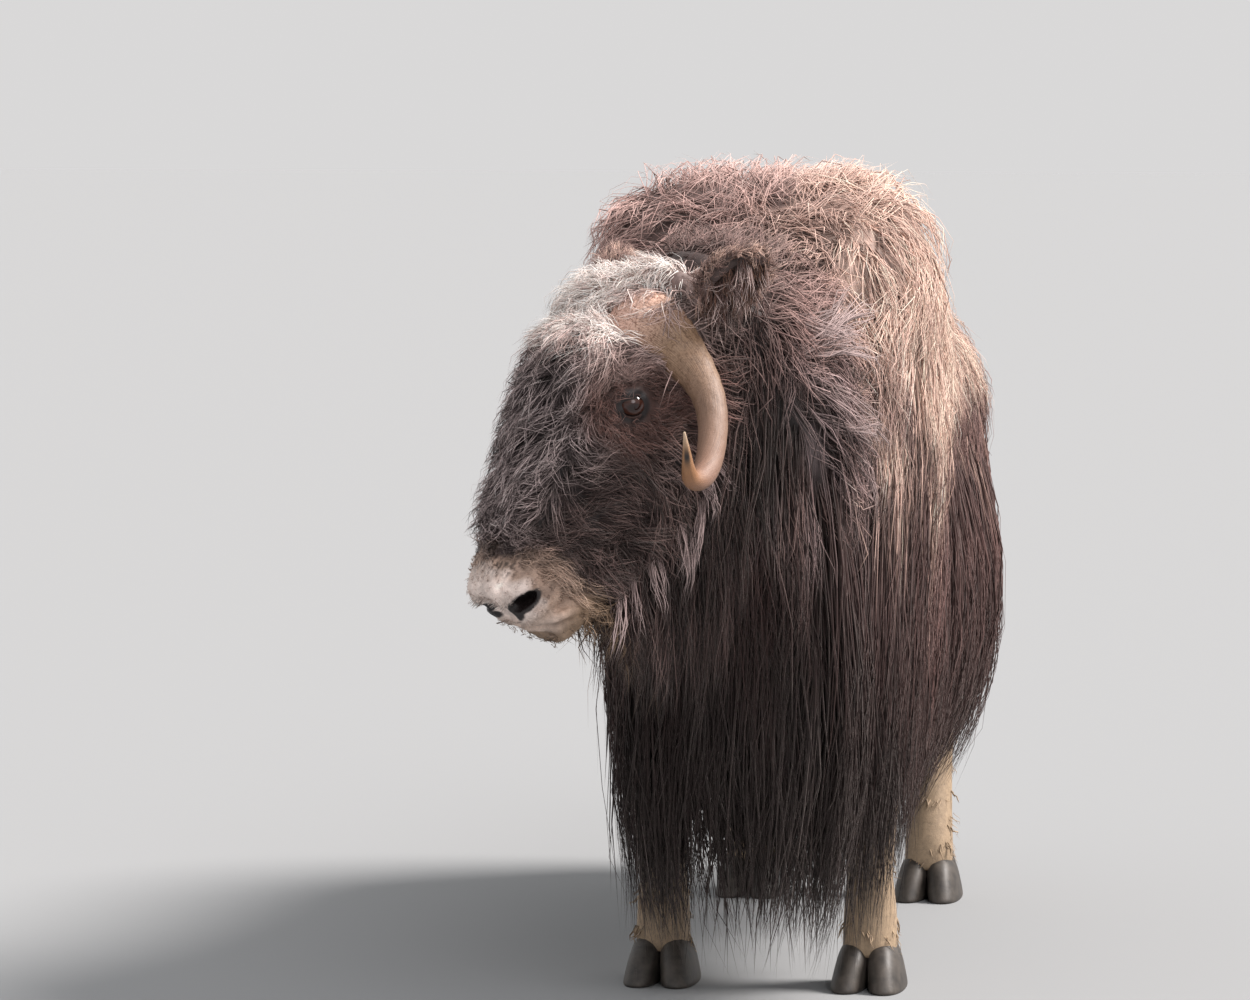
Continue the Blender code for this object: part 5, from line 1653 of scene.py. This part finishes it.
def grow_ears(long_hair):
    """Fine hair all over the ears, and loose pale tufts that hang from their cups."""
    ears = Coat("ear_coat", 180, "face_coat", long_hair)
    rng = ears.rng
    cut = Cut(5, 0.009, 0.30, 0.0020, wave=0.003, frizz=0.001, loft=0.006)
    rim_cut = Cut(5, 0.008, 0.25, 0.0019, wave=0.004, loft=0.004)
    tuft_cut = Cut(7, 0.009, 0.35, 0.0016, wave=0.004, turns=1.2, frizz=0.002)
    for _, side in SIDES:
        leaf, _ = ear_forms(side)
        root, tip_way, cup_way, across = ear_frame(side)
        outer = lambda p, n, w=cup_way: rise(0.70, 0.25, n @ w)
        t, angle = places(leaf, 215, (0.04, 0.97), (-180, 180), rng, outer)
        flow = steady(tip_way - UP * 0.45, 0.35, len(t), rng)
        length = rng.uniform(0.024, 0.046, len(t))
        guides = (leaf, t, angle, flow, length, 0.009, 4, 0.05)
        ears.comb(cut, *guides, colour=ear_colour, wander=0.004)

        inner = lambda p, n, w=cup_way: rise(0.10, 0.45, n @ w)
        t, angle = places(leaf, 105, (0.06, 0.98), (-180, 180), rng, inner)
        flow = steady(tip_way - UP, 0.8, len(t), rng)
        length = rng.uniform(0.018, 0.036, len(t))
        guides = (leaf, t, angle, flow, length, 0.006, 4, 0.05)
        ears.comb(cut, *guides, colour=dark_ear_colour, wander=0.003)

        for inwards, count, colour in ((-0.6, 52, ear_colour), (0.9, 34, dark_ear_colour)):
            share = rng.uniform(0.06, 0.99, count)
            rim = across * np.where(rng.random(count) < 0.5, 1, -1)[:, None]
            width = np.interp(share, EAR_SHARES, EAR_WIDTHS)[:, None]
            spot = root + tip_way * (EAR_LENGTH * share)[:, None] + rim * width * 0.9
            way = tip_way * 0.7 - rim * inwards + cup_way * 0.35 + random_ways(count, 0.3, rng)
            reach = rng.uniform(0.018, 0.036, count)[:, None, None]
            path = spot[:, None] + unit(way)[:, None] * reach * np.linspace(0, 1, 4)[:, None]
            out = np.broadcast_to(cup_way, path.shape)
            ears.grow(path, out, rim_cut, colour)

        count = 30
        share = rng.uniform(0.12, 0.88, count)
        wide = rng.uniform(-0.9, 0.9, count)
        width = np.interp(share, EAR_SHARES, EAR_WIDTHS) * 0.80
        spot = root + tip_way * (EAR_LENGTH * share)[:, None]
        spot = spot + across * (wide * width)[:, None]
        s = np.linspace(0, 1, 4)[None, :, None]
        reach = rng.uniform(0.015, 0.060, count)[:, None, None]
        way = unit(-UP + random_ways(count, 0.45, rng))[:, None]
        path = spot[:, None] + cup_way * 0.026 * np.sin(s * 2.0) + way * reach * s**1.2
        out = np.broadcast_to(cup_way, path.shape)
        ears.grow(path, out, tuft_cut, cup_colour)
    ears.finished(head_unwrap)


def leg_colour(points, along, chance):
    """Tan stockings that turn to the dark coat above the knee."""
    high = rise(0.30, 0.42, points[..., 2] + 0.02 * ripple(points, 0.06, 9))
    colour = blend(STOCKING, DARK, high)
    return colour * (0.60 + 0.7 * chance)[..., None]


def grow_legs(short_hair):
    """The legs' close hair, longer above the knee and hock and at the fetlock."""
    legs = Coat("leg_coat", 190, "stocking", short_hair)
    rng = legs.rng
    cut = Cut(5, 0.016, 0.3, 0.0036, frizz=0.0006, loft=0.002)
    for form in LEGS:
        t, angle = places(form, 125, (0.10, 0.985), (-180, 180), rng)
        height = form.point(t, angle)[:, 2]
        length = 0.024 + 0.060 * rise(0.28, 0.50, height) + 0.012 * rise(0.12, 0.08, height)
        length = length * rng.uniform(0.75, 1.25, len(t))
        flow = steady(-UP + REAR * 0.1, 0.18, len(t), rng)
        legs.comb(cut, form, t, angle, flow, length, 0.004, 4, 0.05, colour=leg_colour)
    legs.finished(leg_unwrap)


# Horns, eyes, lids and hooves


def plain_piece(name, points, faces, finish, slot, replaced=()):
    """A smooth piece that rides on the body."""
    obj = new_object(name, points, faces)
    obj.data.materials.append(finish)
    smooth_shaded(obj.data)
    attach(obj, "root")
    if replaced:
        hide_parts(*replaced)
    return obj


def build_horn(name, side, finish):
    """A horn: its ellipses carried along the middle line, with lengthwise ridges and
    a rough, pitted boss, and how far along it each point lies."""
    sides, count = 56, 200
    path, halves = horn_path(side, count)
    grid, out = tube_rings(path, halves, HEAD_FORWARD, sides)
    share = np.linspace(0, 1, count)[:, None]
    angle = (np.arange(sides) * 2 * math.pi / sides)[None]
    boss = rise(0.42, 0.12, share)
    slim = rise(0.0, 0.25, 1 - share)
    ridge = 0.00020 * np.sin(29 * angle + 1.2 * np.sin(5 * share)) * slim
    ridge = ridge + 0.0011 * boss * np.sin(23 * angle + 9 * share)
    rough = boss * (0.0016 * ripple(grid, 0.014, 20) + 0.0012 * ripple(grid, 0.006, 21))
    rings = 0.0005 * np.sin(150 * share + 2 * np.sin(3 * angle)) * rise(0.7, 0.3, share)
    grid = grid + out * (ridge + rough + rings * slim)[..., None]
    points, faces = closed_grid(grid)
    obj = plain_piece(
        f"horn_{name}_keratin", points, faces, finish, "horn_keratin", [f"horn_{name}"]
    )
    front = unit(HEAD_FORWARD * 0.24 + HEAD_DORSAL * 0.44 + HEAD_LEFT * side * 0.86)
    streak = np.exp(-(((share - 0.925) / 0.026) ** 2)) * rise(0.60, 0.85, out @ front)
    put(obj.data, "streak", np.concatenate((streak.ravel(), (0, 0))))
    along = np.concatenate((np.repeat(share[:, 0], sides), (0, 1)))
    around = np.concatenate((np.tile(angle[0], count), (0, 0)))
    put(obj.data, "along", along)
    put(obj.data, "around", around / (2 * math.pi))
    return obj


def eye_ways(side, polar, turn):
    """Directions from an eye's middle: at a polar angle from its outward axis, and at
    a turn from its forward axis to its upward one."""
    _, out, ahead, upward = eye_frame(side)
    level = np.cos(turn)[..., None] * ahead + np.sin(turn)[..., None] * upward
    return np.cos(polar)[..., None] * out + np.sin(polar)[..., None] * level


def build_eye(name, side, finish):
    """An eyeball: a sphere with the cornea's bulge, and how far each point lies from
    the middle of the pupil, across and up."""
    centre, out, ahead, upward = eye_frame(side)
    rings, around = 60, 72
    polar = np.linspace(0, math.pi, rings + 2)[1:-1][:, None]
    turn = np.linspace(0, 2 * math.pi, around, endpoint=False)[None]
    bulge = EYE_RADIUS * (1 + 0.045 * np.exp(-((polar / 0.55) ** 4)))
    points, faces = closed_grid(centre + eye_ways(side, polar, turn) * bulge[..., None])
    points[-2] = centre + out * bulge[0]
    points[-1] = centre - out * EYE_RADIUS
    obj = plain_piece(f"eye_{name}_ball", points, faces, finish, "eye_wet", [f"eye_{name}"])
    away = points - centre
    put(obj.data, "ahead", away @ ahead / EYE_RADIUS)
    put(obj.data, "upward", away @ upward / EYE_RADIUS)
    return obj


# A lid's loop, by how far each point lies from the opening's edge and over the eyeball
LID_PROFILE = np.array(
    (
        (0.00, 0.0003), (0.00, 0.0009), (0.03, 0.0015), (0.08, 0.0019), (0.15, 0.0020),
        (0.22, 0.0028), (0.30, 0.0032), (0.38, 0.0030), (0.50, 0.0034), (0.64, 0.0036),
        (0.80, 0.0015), (0.80, -0.0040), (0.40, -0.0030), (0.10, -0.0010),
    )
)


def build_lids(name, side, finish):
    """The lids round an eye: a closed ring. Its loop runs from under the lid's edge,
    over the rounded margin and the folded lid, to a skirt sunk in the socket. The
    opening is an almond, and its corners are drawn out."""
    centre, around = eye_frame(side)[0], 120
    turn = np.linspace(0, 2 * math.pi, around, endpoint=False)
    corner = np.abs(np.cos(turn)) ** 6
    wide = 1.03 + 0.03 * corner
    tall = np.where(np.sin(turn) > 0, 0.82, 0.74)
    opening = 1 / np.sqrt((np.cos(turn) / wide) ** 2 + (np.sin(turn) / tall) ** 2)
    away, height = LID_PROFILE[:, :1], LID_PROFILE[:, 1:]
    start = np.arcsin(np.clip(opening * 0.92, 0, 0.98))
    polar = start[None, :] + away * 1.15
    grid = centre + eye_ways(side, polar, turn) * (EYE_RADIUS + height)[..., None]
    loops = len(LID_PROFILE)
    i, j = np.meshgrid(np.arange(loops), np.arange(around), indexing="ij")
    k, m = (i + 1) % loops, (j + 1) % around
    corners = (i * around + j, i * around + m, k * around + m, k * around + j)
    faces = np.stack(corners, -1).reshape(-1, 4)
    points = grid.reshape(-1, 3)
    a, b, c = (points[faces[:, n]] - centre for n in (0, 1, 2))
    if np.sum(a * np.cross(b, c)) < 0:
        faces = faces[:, ::-1]
    return plain_piece(f"lids_{name}", points, faces.tolist(), finish, "face_coat")


def build_hooves(finish):
    """Each foot's two toes and two dewclaws: rounded blocks, flat below."""
    solids = []
    for _, side in SIDES:
        for stance, y in ((LEG_SPREAD, FORELEG_Y), (LEG_SPREAD * 0.95, HINDLEG_Y)):
            for toe in (-1, 1):
                x = stance * side + toe * 0.0305
                rows = []
                for z, front, back, half in (
                    (0.070, -0.046, 0.020, 0.017),
                    (0.060, -0.058, 0.034, 0.0235),
                    (0.040, -0.075, 0.042, 0.0270),
                    (0.014, -0.090, 0.046, 0.0290),
                    (0.004, -0.094, 0.045, 0.0290),
                    (0.000, -0.091, 0.043, 0.0275),
                ):
                    lean = -toe * 0.010 * z / 0.07
                    top, bottom = (x + lean, y + front, z), (x + lean, y + back, z)
                    rows.append((top, bottom, half, 2.5, LEFT, 0.6))
                solids.append(Form(*rows).solid(36, 40))
                claw = (stance * side + toe * 0.022, y + 0.036, 0.088)
                solids.append(ball(claw, (0.018, 0.011, 0.010), (UP, REAR, LEFT), 10, 16))
    names = [f"{leg}_hoof_{name}" for leg in ("foreleg", "hindleg") for name, _ in SIDES]
    return plain_piece("hooves", *joined(solids), finish, "hoof_horn", names)


# Materials


SHEEN = (1.0, 0.86, 0.80, 1.0)
HAIR_GRAIN, HIDE_GRAIN = 60.0, 110.0
WET_ROUGHNESS = 0.30
HORN_COLOURS = (
    (0.00, (0.78, 0.540, 0.455)),
    (0.18, (0.68, 0.460, 0.380)),
    (0.32, (0.27, 0.175, 0.110)),
    (0.50, (0.21, 0.130, 0.090)),
    (0.72, (0.25, 0.145, 0.104)),
    (0.86, (0.27, 0.130, 0.058)),
    (0.94, (0.30, 0.160, 0.078)),
    (1.00, (0.55, 0.420, 0.300)),
)
HORN_LINED = ((0.10, 0.70), (0.35, 1.0), (0.75, 0.45))
HORN_PITTED = ((0.25, 1.0), (0.55, 0.15))
HORN_STREAK = (0.012, 0.010, 0.010, 1.0)
IRIS_COLOURS = (
    (0.00, (0.010, 0.004, 0.004)),
    (0.35, (0.014, 0.005, 0.004)),
    (0.60, (0.040, 0.014, 0.010)),
    (0.80, (0.050, 0.019, 0.013)),
    (0.92, (0.010, 0.005, 0.004)),
    (1.00, (0.012, 0.007, 0.006)),
)
LID_COLOURS = ((0.034, 0.021, 0.019), (0.085, 0.055, 0.050))
HOOF_COLOURS = ((0.018, 0.015, 0.013), (0.070, 0.058, 0.048))


def new_material(name, **values):
    """A material and its shader, with these plain values on the shader's sockets."""
    made = bpy.data.materials.new(name)
    made.use_nodes = True
    shader = made.node_tree.nodes["Principled BSDF"]
    for socket, value in values.items():
        shader.inputs[socket.replace("_", " ")].default_value = value
    return made, shader


def node(tree, kind, *sources, **settings):
    """A node of the tree, with its properties set, or its inputs by their names, and
    its first inputs fed from the sources in turn."""
    made = tree.nodes.new(kind)
    for name, value in settings.items():
        if hasattr(made, name):
            setattr(made, name, value)
        else:
            feed(value, made.inputs[name.replace("_", " ")])
    for source, socket in zip(sources, made.inputs):
        feed(source, socket)
    return made


def feed(source, socket):
    """Links an output to a socket, or sets the socket to a plain value."""
    if isinstance(source, bpy.types.NodeSocket):
        socket.id_data.links.new(source, socket)
    else:
        socket.default_value = source


def maths(tree, operation, *sources):
    """The result of one sum on sockets and numbers."""
    return node(tree, "ShaderNodeMath", *sources, operation=operation).outputs[0]


def spread(tree, value, low, high, start=0.0, end=1.0):
    """A value that runs from start to end, made to run from low to high."""
    return node(tree, "ShaderNodeMapRange", value, start, end, low, high).outputs["Result"]


def noise(tree, place, scale, detail, roughness):
    """Noise over places."""
    sizes = {"Scale": scale, "Detail": detail, "Roughness": roughness}
    return node(tree, "ShaderNodeTexNoise", place, **sizes).outputs["Fac"]


def object_place(tree):
    """The place of each point in its object's coordinates."""
    return node(tree, "ShaderNodeTexCoord").outputs["Object"]


def stored(tree, name, kind="Fac"):
    """The value, or the Color, that the mesh stores under a name."""
    return node(tree, "ShaderNodeAttribute", attribute_name=name).outputs[kind]


def mixed(tree, share, a, b, **settings):
    """Colours mixed from a to b by a share."""
    made = node(tree, "ShaderNodeMix", share, data_type="RGBA", **settings)
    feed(a, made.inputs[6])
    feed(b, made.inputs[7])
    return made.outputs[2]


def ramp(tree, source, stops):
    """The colour at a source's value, between stops of (place, colour)."""
    made = node(tree, "ShaderNodeValToRGB", source)
    elements = made.color_ramp.elements
    while len(elements) < len(stops):
        elements.new(0.5)
    for element, (place, colour) in zip(elements, stops):
        element.position, element.color = place, (*colour, 1.0)
    return made.outputs["Color"]


def relief(shader, height, strength, depth):
    """Bumps a shader's normal by a height."""
    sizes = {"Strength": strength, "Distance": depth, "Height": height}
    bump = node(shader.id_data, "ShaderNodeBump", **sizes)
    feed(bump.outputs["Normal"], shader.inputs["Normal"])


def grain_group():
    """Fine variation of a hair or hide: a tint, a roughness and a height that change
    over the surface, from two sizes of noise."""
    tree = bpy.data.node_groups.new("fine_grain", "ShaderNodeTree")
    for way, name, kind in (
        ("INPUT", "Colour", "NodeSocketColor"),
        ("INPUT", "Size", "NodeSocketFloat"),
        ("INPUT", "Amount", "NodeSocketFloat"),
        ("OUTPUT", "Colour", "NodeSocketColor"),
        ("OUTPUT", "Roughness", "NodeSocketFloat"),
        ("OUTPUT", "Height", "NodeSocketFloat"),
    ):
        tree.interface.new_socket(name, in_out=way, socket_type=kind)
    given, result = node(tree, "NodeGroupInput").outputs, node(tree, "NodeGroupOutput").inputs
    place = object_place(tree)
    coarse = noise(tree, place, given["Size"], 3.0, 0.6)
    fine = noise(tree, place, maths(tree, "MULTIPLY", given["Size"], 5.0), 4.0, 0.7)
    both = maths(tree, "ADD", coarse, fine)
    swing = spread(tree, both, -1.0, 1.0, 0.6, 1.4)
    factor = maths(tree, "MULTIPLY_ADD", swing, given["Amount"], 1.0)
    tint = node(tree, "ShaderNodeVectorMath", given["Colour"], operation="SCALE", Scale=factor)
    feed(tint.outputs["Vector"], result["Colour"])
    feed(spread(tree, fine, 0.45, 0.70), result["Roughness"])
    feed(both, result["Height"])
    return tree


def coloured(shader, grain, size, amount):
    """Gives a shader the stored colours, varied by the fine grain."""
    tree = shader.id_data
    varied = node(tree, "ShaderNodeGroup", node_tree=grain, Size=size, Amount=amount)
    feed(stored(tree, "coat_colour", "Color"), varied.inputs["Colour"])
    feed(varied.outputs["Colour"], shader.inputs["Base Color"])
    feed(varied.outputs["Roughness"], shader.inputs["Roughness"])
    return varied.outputs


def hair_material(name, grain, sheen, amount):
    """Hair: its stored colour, finely varied, with a soft sheen."""
    made, shader = new_material(
        name, Specular_IOR_Level=0.16, Sheen_Weight=sheen, Sheen_Roughness=0.45, Sheen_Tint=SHEEN
    )
    coloured(shader, grain, HAIR_GRAIN, amount)
    return made


def hide_material(grain):
    """The skin under and between the hairs, wet-looking where it is bare."""
    made, shader = new_material("hide", Specular_IOR_Level=0.4)
    varied = coloured(shader, grain, HIDE_GRAIN, 0.35)
    relief(shader, varied["Height"], 0.6, 0.0012)
    wet = node(made.node_tree, "ShaderNodeMix", data_type="FLOAT")
    bare = stored(made.node_tree, "bare")
    for source, n in ((bare, 0), (varied["Roughness"], 2), (WET_ROUGHNESS, 3)):
        feed(source, wet.inputs[n])
    feed(wet.outputs[0], shader.inputs["Roughness"])
    return made


def horn_material():
    """Horn: a pinkish, pitted boss, a straw shaft with fine lengthwise lines, and a
    honey-coloured tip with a dark streak."""
    made, shader = new_material(
        "horn", Specular_IOR_Level=0.45, Coat_Weight=0.06, Coat_Roughness=0.35
    )
    tree = made.node_tree
    along, around, streak = (stored(tree, name) for name in ("along", "around", "streak"))
    longwise, crosswise = maths(tree, "MULTIPLY", along, 5.0), maths(tree, "MULTIPLY", around, 90.0)
    unrolled = node(tree, "ShaderNodeCombineXYZ", longwise, crosswise).outputs[0]
    lines = noise(tree, unrolled, 2.2, 5.0, 0.65)
    pits = noise(tree, object_place(tree), 260.0, 4.0, 0.7)
    colour = ramp(tree, along, HORN_COLOURS)
    for share, source, shades in (
        (HORN_LINED, lines, ((0.36, (0.44, 0.37, 0.32)), (0.55, (1.12, 1.10, 1.08)))),
        (HORN_PITTED, pits, ((0.40, (0.42, 0.33, 0.29)), (0.50, (1.0, 1.0, 1.0)))),
    ):
        share = ramp(tree, along, [(place, (grey,) * 3) for place, grey in share])
        shade = ramp(tree, source, shades)
        colour = mixed(tree, share, colour, shade, blend_type="MULTIPLY")
    feed(mixed(tree, streak, colour, HORN_STREAK), shader.inputs["Base Color"])
    feed(spread(tree, lines, 0.34, 0.62), shader.inputs["Roughness"])
    relief(shader, maths(tree, "ADD", lines, pits), 0.55, 0.0012)
    return made


def eye_material():
    """A wet eye: reddish-brown iris, a wide dark pupil, a dark rim. The rings of the
    iris are ellipses: the root of the squares of ahead, and of upward stretched."""
    made, shader = new_material(
        "eye", Roughness=0.35, Specular_IOR_Level=0.0, Coat_Weight=1.0, Coat_Roughness=0.05
    )
    tree = made.node_tree
    ahead, upward = (maths(tree, "ABSOLUTE", stored(tree, name)) for name in ("ahead", "upward"))
    upward = maths(tree, "MULTIPLY", upward, 1.6)
    squares = [maths(tree, "POWER", each, 2.0) for each in (ahead, upward)]
    away = maths(tree, "SQRT", maths(tree, "ADD", *squares))
    feed(ramp(tree, away, IRIS_COLOURS), shader.inputs["Base Color"])
    return made


def plain_material(name, colours, size, roughness, depth, **values):
    """A material whose colour runs between two by noise, with a matching relief."""
    made, shader = new_material(name, **values)
    tree = made.node_tree
    cloud = noise(tree, object_place(tree), size, 5.0, 0.6)
    feed(ramp(tree, cloud, tuple(zip((0.3, 0.7), colours))), shader.inputs["Base Color"])
    feed(spread(tree, cloud, *roughness), shader.inputs["Roughness"])
    relief(shader, cloud, 0.5, depth)
    return made


# The stage


CAMERA_TURN = math.radians(10)
CAMERA_RISE = math.radians(4.9)
CAMERA_AWAY = 8.0
PHOTO_WIDTH = 1250
PIXELS_PER_METRE = 635
FOCUS_PIXELS = 5080
AIM_LEFT_PIXELS = -145
AIM_HEIGHT = 0.764
SENSOR = 36.0
FLOOR_HALF = 60.0
FLOOR_COLOUR = (0.291, 0.300, 0.308, 1.0)
SURROUND_COLOUR = (0.87, 0.86, 0.86, 1.0)
SURROUND_STRENGTH = 0.80
SUNS = (
    ("high_sun", (0.80, 0.20, 0.85), 20.0, 6.4, (1.0, 0.94, 0.90)),
    ("front_sun", (0.35, -0.72, 0.60), 34.0, 0.95, (1.0, 0.97, 0.98)),
)


def build_camera():
    """The camera at the photo's angle, distance and framing."""
    a, e = CAMERA_TURN, CAMERA_RISE
    back = np.array((math.sin(a) * math.cos(e), -math.cos(a) * math.cos(e), math.sin(e)))
    right = np.array((math.cos(a), math.sin(a), 0.0))
    up = np.cross(back, right)
    target = right * (AIM_LEFT_PIXELS / PIXELS_PER_METRE) + UP * AIM_HEIGHT + SHIFT
    lens = bpy.data.cameras.new("camera")
    lens.lens = FOCUS_PIXELS * SENSOR / PHOTO_WIDTH
    lens.sensor_width = SENSOR
    camera = bpy.data.objects.new("camera", lens)
    turned = Matrix(np.stack((right, up, back), 1).tolist()).to_4x4()
    camera.matrix_world = Matrix.Translation(Vector(target + back * CAMERA_AWAY)) @ turned
    bpy.context.scene.collection.objects.link(camera)
    bpy.context.scene.camera = camera


def build_sun(name, direction, softness, power, colour):
    """A soft, distant light from a direction, as wide as its softness in degrees."""
    lamp = bpy.data.lights.new(name, "SUN")
    lamp.angle = math.radians(softness)
    lamp.energy = power
    lamp.color = colour
    obj = bpy.data.objects.new(name, lamp)
    obj.rotation_euler = (-Vector(direction)).to_track_quat("-Z", "Y").to_euler()
    bpy.context.scene.collection.objects.link(obj)


def build_stage():
    """A pale floor, soft lights and a pale surround."""
    grid = np.array(((-1, -1, 0), (1, -1, 0), (1, 1, 0), (-1, 1, 0))) * FLOOR_HALF
    floor = new_object("floor", grid - SHIFT, [(0, 1, 2, 3)])
    paint, _ = new_material(
        "floor_paint", Base_Color=FLOOR_COLOUR, Roughness=0.9, Specular_IOR_Level=0.1
    )
    floor.data.materials.append(paint)
    world = bpy.data.worlds.new("surround")
    world.use_nodes = True
    background = world.node_tree.nodes["Background"]
    background.inputs["Color"].default_value = SURROUND_COLOUR
    background.inputs["Strength"].default_value = SURROUND_STRENGTH
    bpy.context.scene.world = world
    bpy.context.scene.view_settings.view_transform = "Standard"
    for sun in SUNS:
        build_sun(*sun)


def main():
    build_camera()
    build_stage()
    grain = grain_group()
    finishes = (
        hair_material("long_hair", grain, 0.18, 0.15),
        hair_material("wool", grain, 0.35, 0.20),
        hair_material("short_hair", grain, 0.22, 0.15),
    )
    build_skin(hide_material(grain))
    build_coat(finishes)
    horn, eye = horn_material(), eye_material()
    lid = plain_material(
        "lid_skin", LID_COLOURS, 160.0, (0.60, 0.78), 0.0008, Specular_IOR_Level=0.12
    )
    hoof = plain_material("hoof_keratin", HOOF_COLOURS, 45.0, (0.40, 0.65), 0.0015)
    for name, side in SIDES:
        build_horn(name, side, horn)
        build_eye(name, side, eye)
        build_lids(name, side, lid)
    build_hooves(hoof)


main()
